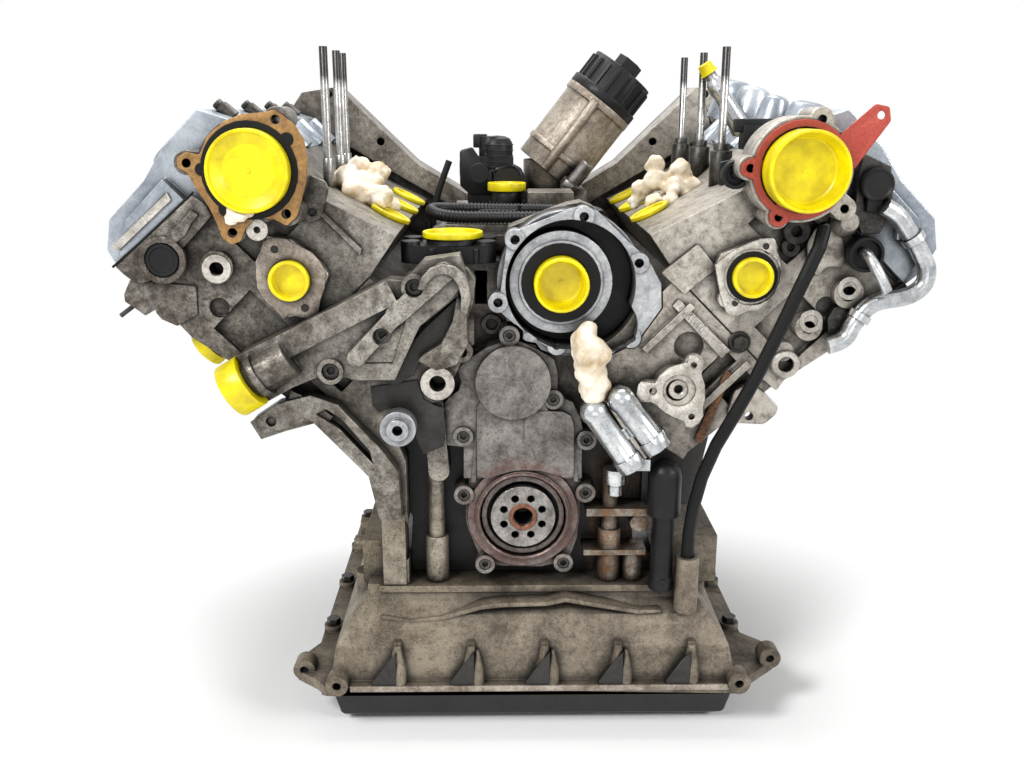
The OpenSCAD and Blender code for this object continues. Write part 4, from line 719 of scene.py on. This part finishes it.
piece("forms_head_right", HEAD, "head_casting",
      (plate, [(109, 209), (137, 232), (153, 213), (128, 192)], 0.1, -4.5, 0.8, 1.5),
      (plate, [(203, 141), (221, 134), (207, 112), (191, 125)], 1, -5, 0.8, 2),
      (ring, (211, -5, 136), 11.5, 6.2, 7, 0.5),
      (plate, [(168, 92), (176, 84), (199, 83), (208, 91), (210, 98), (200, 108), (186, 118), (173, 112)], 8,
       -4, 0.8, 2.5, [(186, 90, 3.4)]),
      (plate, [(233, 205), (240, 214), (252, 213), (256, 222), (249, 240), (240, 250), (229, 246), (222, 232),
       (226, 214)], 0.1, -5, 2, 4),
      (turned, [(AXIS, 11), (7, 10), (11, 6), (12.5, 0), (12.5, -1), (AXIS, -1)], (252, -4, 250)))
piece("dark_flange_right", DARK_STEEL, "black_screws",
      (plate, [(254, 150), (245, 160), (243, 172), (248, 182), (258, 184), (271, 182), (287, 191), (302, 202),
       (309, 193), (304, 185), (282, 178), (262, 166)], -0.5, -7, 0.8, 1.5),
      (ring, (214, 0, 242), 10.5, 4.2, 6, 0.5),
      (ring, (210.5, 0, 229), 7.5, 3, 4, 0.5),
      (hexagon, (175, -0.5, 152), 11, 6),
      (ring, (175, 0, 152), 9, 2, 1.5, 0.5))
pipe("stub_left_outer", [(-314.5, 8, 181.2), (-325.2, 8, 173.4)], 1.9, DARK_STEEL, 1)
pipe("stub_left_inner", [(-244.3, 10, 168.4), (-266.7, 10, 157.1)], 2.9, DARK_STEEL, 1)


# Faces left bright by the milling cutter on bosses, flanges and rails
piece("milled_faces", MILLED, "machined_steel",
      *[(ring, (x, y, z), outer, inner, 0.5, 0.2, 0.2)
        for x, y, z, outer, inner in ((257.5, -10, 197.5, 9.4, 5.4), (229, -10, 171, 9.4, 5.4),
                                      (211, -12, 136, 10.8, 6.4), (-241, -8, 213.5, 11.4, 5.6),
                                      (-201, -34, 247, 8.2, 2.6), (-70.1, -4, 118.8, 14, 6.7))],
      (ring, (125, -6, 116), 8.6, 3.6, 8.5, 0.3, 0.8),
      (plate, [(119, 182), (124, 188), (168, 146), (161, 139)], -0.1, -3, 0.6, 0.8),
      *[(plate, [(x - 2.2, z - 2.6), (x - 1.2, z - 3.4), (x + 2.4, z + 0.6), (x + 1.4, z + 1.4)],
         -2.9, -3.9, 0.15, 0) for x, z in [(127 + i * 2.4, 181.5 - i * 2.35) for i in range(8)]],
      (plate, [(91.8, 120.8), (94.2, 123.6), (105.3, 122.2), (108.5, 127.9), (115.8, 135), (124, 137.8),
       (130.8, 139.2), (131.5, 145.3), (137.4, 144.8), (141.8, 140.6), (143.4, 134.9), (142.3, 129.2),
       (145.5, 120.6), (146.4, 109.1), (144.8, 101.9), (145.7, 94.6), (142.9, 89), (137.6, 84.4),
       (131.9, 85.1), (130, 90.2), (123.2, 92.9), (114.6, 97.3), (107.4, 103.4), (103.1, 106.3),
       (92.7, 106.4), (90.7, 112.9)], -15.5, -17, 0.4,
       0, [(125, 116, 13.4), (135.7, 136.8, 2.6), (103.9, 115.4, 3), (135.9, 93.9, 2.6)]),
      (plate, [(149.7, 216.2), (153.8, 220.3), (164.1, 228.4), (174.6, 233.3), (184.4, 237.1), (193.8, 237.6),
       (196.3, 235), (196.7, 229), (200.7, 221.6), (201.9, 212.8), (201.2, 203.2), (197.5, 193.6),
       (194.4, 189.5), (190.8, 181.9), (186.2, 179.8), (177.9, 179.8), (169.9, 176.1), (164.4, 176.4),
       (160.9, 178.7), (158.5, 184), (155, 193.7), (152.3, 204.7)], -8, -11.2, 0.4, 0, [(179.6, 206.8, 22.6),
       (188.9, 231, 2.6), (167.3, 186.1, 2.6)]))
piece("flange_face_left", FILTER, "head_casting",
      (plate, [(-202.2, 235.5), (-195, 238.7), (-184.8, 237.4), (-174.9, 232.2), (-164.9, 226.4),
       (-159.4, 219.9), (-154.7, 210.8), (-156.6, 199.1), (-160.3, 189.8), (-162.4, 179.2), (-169.6, 173.9),
       (-176.1, 175.2), (-184.5, 177.7), (-190.5, 174.5), (-194.2, 179.3), (-203.4, 188.6), (-209.2, 199.2),
       (-209.7, 210.9), (-207.4, 221.3), (-204.6, 229.1)], -8, -11.4, 0.4, 0, [(-183.6, 205.1, 16.4),
       (-194, 229.3, 3), (-172.7, 183, 3.2)]))
piece("rail_sump", FILTER, "pan_casting", (block, (-147, -40.9, -142), (175, -38.5, -136.5), 0.7))


# Webs, lips and pads on the block and the sump
SUMP_RIBS = (-105, -39, 25, 87, 144)
piece("forms_block_front", BLOCK, "block_casting",
      (plate, [(-57, 203), (-46, 190), (-50, 170), (-60, 152), (-100, 118), (-112, 121), (-112, 132),
       (-84, 165), (-70, 190)], 20, 8, 0.8, 1),
      (plate, [(-44, 213), (-38, 205), (-40, 186), (-50, 160), (-58, 158), (-50, 180), (-48, 204), (-60, 212),
       (-74, 208), (-78, 214), (-62, 220)], 6, -8, 1, 1.5),
      (ring, (-26, 42, 159), 9, 4.6, 4, 0.5),
      (ring, (-50, 4, 144), 9, 4, 4, 0.5),
      (plate, [(100, 150), (118, 168), (120, 163), (104, 146)], 0.1, -2, 0.6, 0.8),
      (plate, [(-62, 100), (-46, 112), (-44, 98), (-52, 88), (-64, 84)], 22, 12, 0.8, 1.5))
piece("rusty_rail", RUST, "fasteners",
      (plate, [(165, 130), (170, 126), (155, 84), (148, 66), (142, 70), (150, 92)], 0.1, -4, 0.8, 1.5))
piece("forms_sump_front", PAN, "pan_casting",
      (plate, [(-121, -83), (-96, -87), (-70, -84), (-35, -74), (-17, -72), (21, -71), (36, -67), (65, -73),
       (98, -79), (118, -79), (118, -82), (98, -83), (65, -77), (36, -71.5), (21, -75), (-17, -76),
       (-35, -78), (-70, -88.5), (-96, -91), (-121, -87)], 4, -17, 1, 0),
      *[(turned, [(AXIS, 31), (1.4, 30), (3, 24), (4.6, 17), (5.2, 15), (5.6, 2), (6.2, 1), (6.2, -1),
                  (AXIS, -1)], (x, -34.5, -138.5), (0, 0.1, 1), 20) for x in SUMP_RIBS])
# The gussets are near black as painted shade beside the ribs
piece("sump_gussets", OIL_AND_SHADE, "pan_casting",
      *[(hull, [(x - 3, -36.5, -108), (x - 3, -39.6, -140), (x - 23, -38.6, -134), (x - 21, -39.4, -140),
       (x - 10, -36.5, -116), (x, -24, -110), (x, -26, -140), (x - 23, -26, -138)]) for x in SUMP_RIBS],
      smooth=25)


# Floor, rim and arch of the coolant arm's pocket, the floor near black as painted shade
piece("floor_arm", OIL_AND_SHADE, "housing_casting",
      (plate, [(-129.9, 136.5), (-122, 152.5), (-121.4, 167.6), (-102.5, 172.5), (-100.9, 145.7),
       (-103.3, 121.1), (-113.8, 128)], -6.1, -7, 0.2, 0),
      (plate, [(-123.5, 123.7), (-103.3, 139.7), (-78.9, 166.4), (-54.2, 189.4), (-50.6, 182.9),
       (-54.2, 156.4), (-63.9, 143), (-83.7, 138.8), (-88.9, 127), (-103.1, 119)], 2, -10, 0.8, 0))
piece("rim_arm", HEAD, "housing_casting",
      (plate, [(-82.4, 201), (-79, 210.4), (-72.3, 217.4), (-63, 220.5), (-53.7, 218.5), (-46.4, 213),
       (-42.6, 205.1), (-41.1, 193.3), (-44.5, 180.5), (-49.8, 183.7), (-48.9, 194.9), (-51.1, 204.1),
       (-55.4, 209.9), (-61.5, 212.7), (-69, 211.3), (-73.8, 206.3), (-76.6, 199.7)], -24, -31, 1.4, 0),
      (plate, [(-52.6, 193.2), (-44.8, 179), (-44.1, 155.8), (-53.3, 138.9), (-69.6, 134), (-84.6, 142.3),
       (-79.3, 147.6), (-65.5, 155.9), (-56.3, 173.8)], -8, -22, 1.4, 0),
      (plate, [(-136.9, 142.2), (-128.2, 139.7), (-103.1, 140.1), (-95.4, 155.3), (-80.6, 170.4),
       (-51.1, 194), (-56, 205.6), (-78.6, 186.4), (-104.7, 165.2), (-121.1, 155.4)], -8, -19.4, 1.4, 0))


# Blind ends of the flange holes and the hollow beside the roller, near black as painted shade, and the
# bracket's solid end
piece("painted_shade_hollows", OIL_AND_SHADE, "head_casting",
      *[(turned, [(AXIS, 2.6), (3.3, 2.6), (3.3, -1), (AXIS, -1)], (x, -8, z), FRONT, 20)
        for x, z in ((-194, 229.3), (-172.7, 183), (188.9, 231), (167.3, 186.1))],
      (plate, [(-124.8, 115.4), (-104.8, 118.4), (-86.7, 121.3), (-81.8, 104.8), (-71.9, 99.2), (-65.2, 97.4),
       (-65.8, 64.1), (-82.9, 57), (-89.3, 73.2), (-90.6, 87.3), (-98.7, 97.5), (-108.7, 98.3), (-119, 93.6),
       (-123.8, 99.7)], -0.1, -1.5, 0.4, 0))
piece("bracket_end", HEAD, "housing_casting",
      (plate, [(-222.9, 88.5), (-214.8, 73.6), (-193.2, 80.9), (-171.3, 86.9), (-160.6, 85.2), (-155.2, 93),
       (-163.9, 100.8), (-173.6, 105.1), (-179.9, 111.2), (-188.2, 115.5), (-191.5, 104.3), (-210.5, 96.6)],
       -8.8, -10.5, 0.8, 0))


# The front cover's flat face, its stepped rim, and the seal carrier round the crankshaft
piece("forms_front_cover", COVER, "cover_casting",
      (plate, [(-54.7, 127.1), (-50.4, 132.6), (-43.2, 138.4), (-29.8, 147), (-17.2, 151.3), (-3.1, 152),
       (11, 145.5), (25.4, 136.8), (28.8, 123.6), (28.3, 105.9), (41.3, 99.9), (47.5, 88), (50.3, 75.9),
       (49.5, 57.7), (49.9, 32.7), (-50.2, 33.2), (-49.9, 61.1), (-64.3, 62.7), (-66.3, 67.3), (-65.8, 98.8),
       (-62.1, 104), (-53.5, 110.6), (-51.3, 118)], 9, 5, 0.8, 0),
      (plate, [(-34.3, 104.2), (-38.3, 96.5), (-38.9, 68.3), (-38.9, 37.1), (-30.5, 33.5), (-20.4, 37.3),
       (-8.8, 40.5), (2.8, 41.5), (14.4, 40.7), (26.1, 37.6), (36.3, 34.1), (42.9, 35.9), (42.5, 80.1),
       (39.8, 89.1), (33.3, 93), (21.2, 93.6), (16.8, 101.1)], 8, 1.5, 0.8, 0),
      (plate, [(0.9, 94), (0.6, 65), (6.3, 62.7), (8.8, 57.6), (11, 50.7), (20.1, 47.6), (29.6, 42.2),
       (37.6, 36.6), (42.7, 37), (42.3, 80.4), (39.7, 89.4), (32.8, 93.1), (21.1, 93.7)], 2, 0.6, 0.5, 0),
      (ring, (0, 9, 0), 36.2, 30, 5, 1, 1.2),
      (ring, (0, 9, 0), 39.5, 36.8, 9.5, 1, 1))
piece("pipe_web", BRIGHT, "bright_alloy",
      (block, (76, -16, 50), (86, -6, 86), 3),
      (turned, [(AXIS, 24), (5, 24), (6, 23), (6, 14), (8.6, 13), (9, 12), (9, 0), (AXIS, 0)], (78, 4, 42),
       (0, 0, -1)),
      (plate, [(58, 96), (66, 104), (100, 64), (92, 56)], -8, -17, 1, 1))


# Web between the two coolant pipes, the case's stiffener behind the pressure tube, and a capped outlet under
# the left head
piece("bridge_pipes", MILLED, "bright_alloy",
      (plate, [(63.5, 108.3), (74.6, 111.6), (107.9, 62.3), (95.9, 53.7)], -11, -20, 1.5, 0),
      (plate, [(65.5, 107.8), (68.6, 109.5), (100.8, 61.2), (96.8, 57.8)], -19, -24, 1.5, 0))
# The stiffener sits behind the pressure tube, near black as painted shade
piece("stiffener_case", OIL_AND_SHADE, "block_casting",
      (plate, [(102, 4), (102, 66), (124, 69), (158, 67), (151, 30), (143, 4)], 27, 15, 1.5, 0))
outlet, outward = (-260, 34, 145), (-0.76, 0, -0.64)
piece("cap_outlet_left", YELLOW, "transport_cap",
      (turned, [(AXIS, 7), (12.5, 7), (13.5, 9), (16, 9), (17, 8), (17, 0), (AXIS, 0)], outlet, outward, 36))
piece("outlet_left", HEAD, "head_casting", (ring, outlet, 14.5, 2, 2, 30, 0.6, outward))


# Ribs, chain-case rings and screws on the rear cover, which the photograph doesn't show
REAR_Y = 396


def rear_half(shape, side):
    middle = Vector((side * 192, 266))
    for outer, inner, height in ((50, 46, 6), (20, 12, 7)):
        ring(shape, (side * 192, REAR_Y, 266), outer, inner, height, 1, 1.2, BACK)
    for turn in range(6):
        a = math.radians(turn * 60 + 15)
        way, wide = Vector((math.cos(a), math.sin(a))), Vector((-math.sin(a), math.cos(a))) * 1.8
        spoke = [tuple(middle + way * r + wide * k) for r, k in ((18, -1), (18, 1), (48, 1), (48, -1))]
        plate(shape, spoke, REAR_Y, 401, 1, 0)
    for x0, z0, x1, z1 in ((36, 42, 158, 228), (60, 8, 108, 118), (0, 56, 0, 232)):
        if side > 0 or x0:
            first, second = Vector((side * x0, z0)), Vector((side * x1, z1))
            wide = (second - first).normalized().orthogonal() * 2
            rib = [tuple(p) for p in (first - wide, first + wide, second + wide, second - wide)]
            plate(shape, rib, REAR_Y, 401.5, 1.2, 0)


def rear_screw(shape, x, z):
    ring(shape, (x, REAR_Y, z), 8, 3, 3.5, 1, 0.6, BACK)
    hexagon(shape, (x, 399, z), 10, 5.5, BACK, 0.7)


piece("rear_cover_forms", COVER, "cover_casting", (ring, (0, REAR_Y, 0), 54, 50.5, 6.5, 1, 1.2, BACK),
      (rear_half, -1), (rear_half, 1))
piece("rear_cover_screws", DARK_STEEL, "fasteners",
      *[(rear_screw, side * x, z) for x, z in (
          (248, 300), (246, 262), (226, 228), (190, 196), (166, 166), (140, 128), (126, 88), (114, 48),
          (112, 8), (98, -40), (160, 286), (122, 252), (75, 236), (30, 236)) for side in (-1, 1)])


# The breather's slanted shield, saddle and domed tower
piece("breather_forms", NYLON, "black_plastic",
      (plate, [(-59.4, 294.1), (-47, 297.4), (-31.7, 275.2), (-25.8, 272.2), (-25.9, 250), (-49.1, 250),
       (-59.5, 259.2)], 262, 246, 2, 0),
      (plate, [(-26.3, 273.9), (-22.4, 279.2), (-5.7, 280.7), (3.9, 275.4), (6.4, 267.8), (5.9, 257.8),
       (4, 249.9), (-26.4, 249.9)], 274, 243, 3.5, 2.5),
      (turned, [(AXIS, 35.2), (8, 34.4), (13, 32.2), (15.4, 28.2), (16.2, 23.2), (15.6, 11.2), (15.6, 2),
       (17, 0), (AXIS, 0)], (-21.6, 262, 273.5), UP, 36),
      *[(ring, (-21.6, 262, 277.5 + 5.5 * i), 16.5, 12, 0.8, 0.8, 0.3, UP) for i in range(5)],
      (block, (-45.9, 256, 296.6), (-31.7, 270, 310), 1.2))


# Valley: lever, thin hose and a union below the filter
pipe("valley_lever", [(-44, 110, 236), (-38, 110, 245), (-30, 110, 246.5), (-6, 110, 246.5), (-1, 110, 252)],
     1.9, RUBBER)
pipe("valley_hose", [(-68, 205, 286), (-74, 203, 270), (-80, 202, 252), (-84, 201, 232), (-86, 200, 194)],
     3.2, RUBBER)
tilt = Vector((0.62, -0.2, 0.76))
piece("valley_union", STEEL, "machined_steel",
      (hexagon, (50, 250, 256), 19, 9, tilt, 1),
      (turned, [(AXIS, 34), (6, 34), (7.2, 33), (7.2, 10), (8.2, 9.5), (8.2, -2), (AXIS, -2)],
       (50, 250, 256), tilt, 24))


# Right cover: coil wells, sensor, and a capped neck at the back
piece("coil_wells_right", CAM_COVER, "bright_alloy",
      *[(turned, [(AXIS, 0), (r * 0.55, -0.8), (r * 0.82, -3.2), (r * 0.96, -8), (r, -15), (r + 3, -40),
                  (AXIS, -40)], (x, y, z), (0.22, 0, 0.97), 36)
        for x, y, z, r in ((236, 56, 340, 18), (224, 116, 346, 13), (222, 186, 355, 16),
                           (222, 262, 362, 19))])
piece("sensor_right", NYLON, "black_plastic",
      (block, (180, 50, 302), (200, 66, 322), 1.5),
      (block, (174, 52, 316), (206, 64, 327), 1.5),
      (turned, [(AXIS, 14), (4.6, 14), (5.2, 13), (5.2, 0), (AXIS, 0)], (205, 58, 321), (1, 0, 0.35), 20))
lean = Vector((-0.55, 0, 0.83))
piece("neck_right", BRIGHT, "bright_alloy",
      (turned, [(AXIS, 62), (4.6, 62), (5.2, 61), (5.6, 52), (8.4, 48), (9, 40), (7.4, 34), (8.4, 20),
       (10.5, -4), (AXIS, -4)], (206, 170, 318), lean, 24))
piece("cap_neck_right", YELLOW, "transport_cap",
      (turned, [(AXIS, 10), (5.4, 10), (6.4, 9.4), (7.2, 1.2), (8.6, 1), (8.6, 0), (5, -0.2), (AXIS, -0.2)],
       Vector((206, 170, 318)) + lean * 58, lean, 28))
piece("plugs_right", NYLON, "black_plastic",
      (plate, [(150, 277), (150, 295), (172, 300), (178, 280)], -4, -8, 0.8, 2),
      (ring, (161, -8, 286), 10.8, 7.6, 9, 0.5),
      (turned, [(AXIS, 6), (2.4, 6), (3, 5), (3, 2), (7.8, 2), (7.8, -0.3), (AXIS, -0.3)], (161, -8, 286)),
      (turned, [(AXIS, 7), (9.6, 7), (11.4, 8.2), (12.6, 7.4), (12.6, -2), (AXIS, -2)], (268.5, -14, 279)),
      (block, (262, -19, 258), (275, -12, 272), 2))


# Left cover: bright seam, its black gasket, and screws
def cover_screw(shape, y):
    spot, up = Vector((-235, y, 330)), Vector((-0.70711, 0, 0.70711))
    turned(shape, [(AXIS, 9), (5, 9), (6, 8), (7, -4), (AXIS, -4)], spot, up, 20)
    hexagon(shape, spot + up * 8.5, 8, 5, up, 0.6)


piece("seam_left", MILLED, "bright_alloy",
      (plate, [(-321, 231), (-315, 228), (-271, 267), (-274, 273)], -7.9, -9.5, 0.4, 0.8))
piece("seam_seal_left", RUBBER, "black_plastic",
      (plate, [(-321.8, 216), (-320.9, 214.4), (-298.7, 233), (-253.3, 272.1), (-254.2, 273.6),
       (-298.5, 235.1)], -7.9, -9.9, 0.3, 0))
piece("cover_screws_left", DARK_STEEL, "fasteners", *[(cover_screw, y) for y in (40, 130, 220, 300)])


# Light: a plain studio with a white surround
def set_light():
    world = bpy.data.worlds.new("studio")
    bpy.context.scene.world = world
    world.use_nodes = True
    tree = world.node_tree
    ground = tree.nodes["Background"]
    ground.inputs["Color"].default_value = (1, 1, 1, 1)
    tree.links.new(ramp(tree, seen_straight(tree), 0.0, 1.0, 0.34, 1.0), ground.inputs["Strength"])
    lamps = [("key", (-1.0, -1.1, 1.3), 27.0, 0.45), ("fill", (1.4, -1.0, 0.9), 15.0, 0.6),
             ("top", (0.0, 0.5, 1.5), 26.0, 1.2), ("low", (0.0, -1.5, -0.05), 3.0, 0.9)]
    for name, spot, power, size in lamps:
        lamp = bpy.data.lights.new(name, "AREA")
        lamp.energy = power
        lamp.size = size
        holder = bpy.data.objects.new(name, lamp)
        aim = Vector((0.0, 0.1, 0.12)) - Vector(spot)
        holder.matrix_world = Matrix.Translation(spot) @ aim.to_track_quat("-Z", "Y").to_matrix().to_4x4()
        bpy.context.collection.objects.link(holder)


def seen_straight(tree):
    """1 for what the camera sees, also in metal and through glass."""
    rays = node(tree, "LightPath")
    first = node(tree, "Math", {"operation": "MAXIMUM"}, i0=rays.outputs["Is Camera Ray"],
                 i1=rays.outputs["Is Glossy Ray"]).outputs[0]
    return node(tree, "Math", {"operation": "MAXIMUM"}, i0=first,
                i1=rays.outputs["Is Transmission Ray"]).outputs[0]


def set_floor():
    """White paper that keeps the shadow near the engine and fades to plain white away from it."""
    mesh = bpy.data.meshes.new("studio floor")
    shape = bmesh.new()
    bmesh.ops.create_grid(shape, x_segments=1, y_segments=1, size=6.0)
    bmesh.ops.translate(shape, vec=(0.0, 0.0, FLOOR_Z), verts=shape.verts)
    shape.to_mesh(mesh)
    shape.free()
    floor = bpy.data.objects.new("studio floor", mesh)
    bpy.context.collection.objects.link(floor)
    made, tree, shader = new_material("white studio paper")
    shader.inputs["Base Color"].default_value = colour("#ffffff")
    shader.inputs["Roughness"].default_value = 1.0
    shader.inputs["Specular IOR Level"].default_value = 0.0
    place = node(tree, "TexCoord").outputs["Object"]
    away = node(tree, "VectorMath", {"operation": "DISTANCE"}, i0=place,
                i1=(0, 0.15, FLOOR_Z)).outputs["Value"]
    bare = times(tree, ramp(tree, away, 0.35, 0.75), seen_straight(tree))
    white = node(tree, "Emission", None, Color=(1, 1, 1, 1), Strength=1.0).outputs[0]
    mixed = node(tree, "MixShader", None, i0=bare, i1=shader.outputs[0], i2=white)
    tree.links.new(mixed.outputs[0], tree.nodes["Material Output"].inputs["Surface"])
    mesh.materials.append(made)


set_camera()
set_light()
set_floor()
bpy.context.scene.view_settings.view_transform = "Standard"
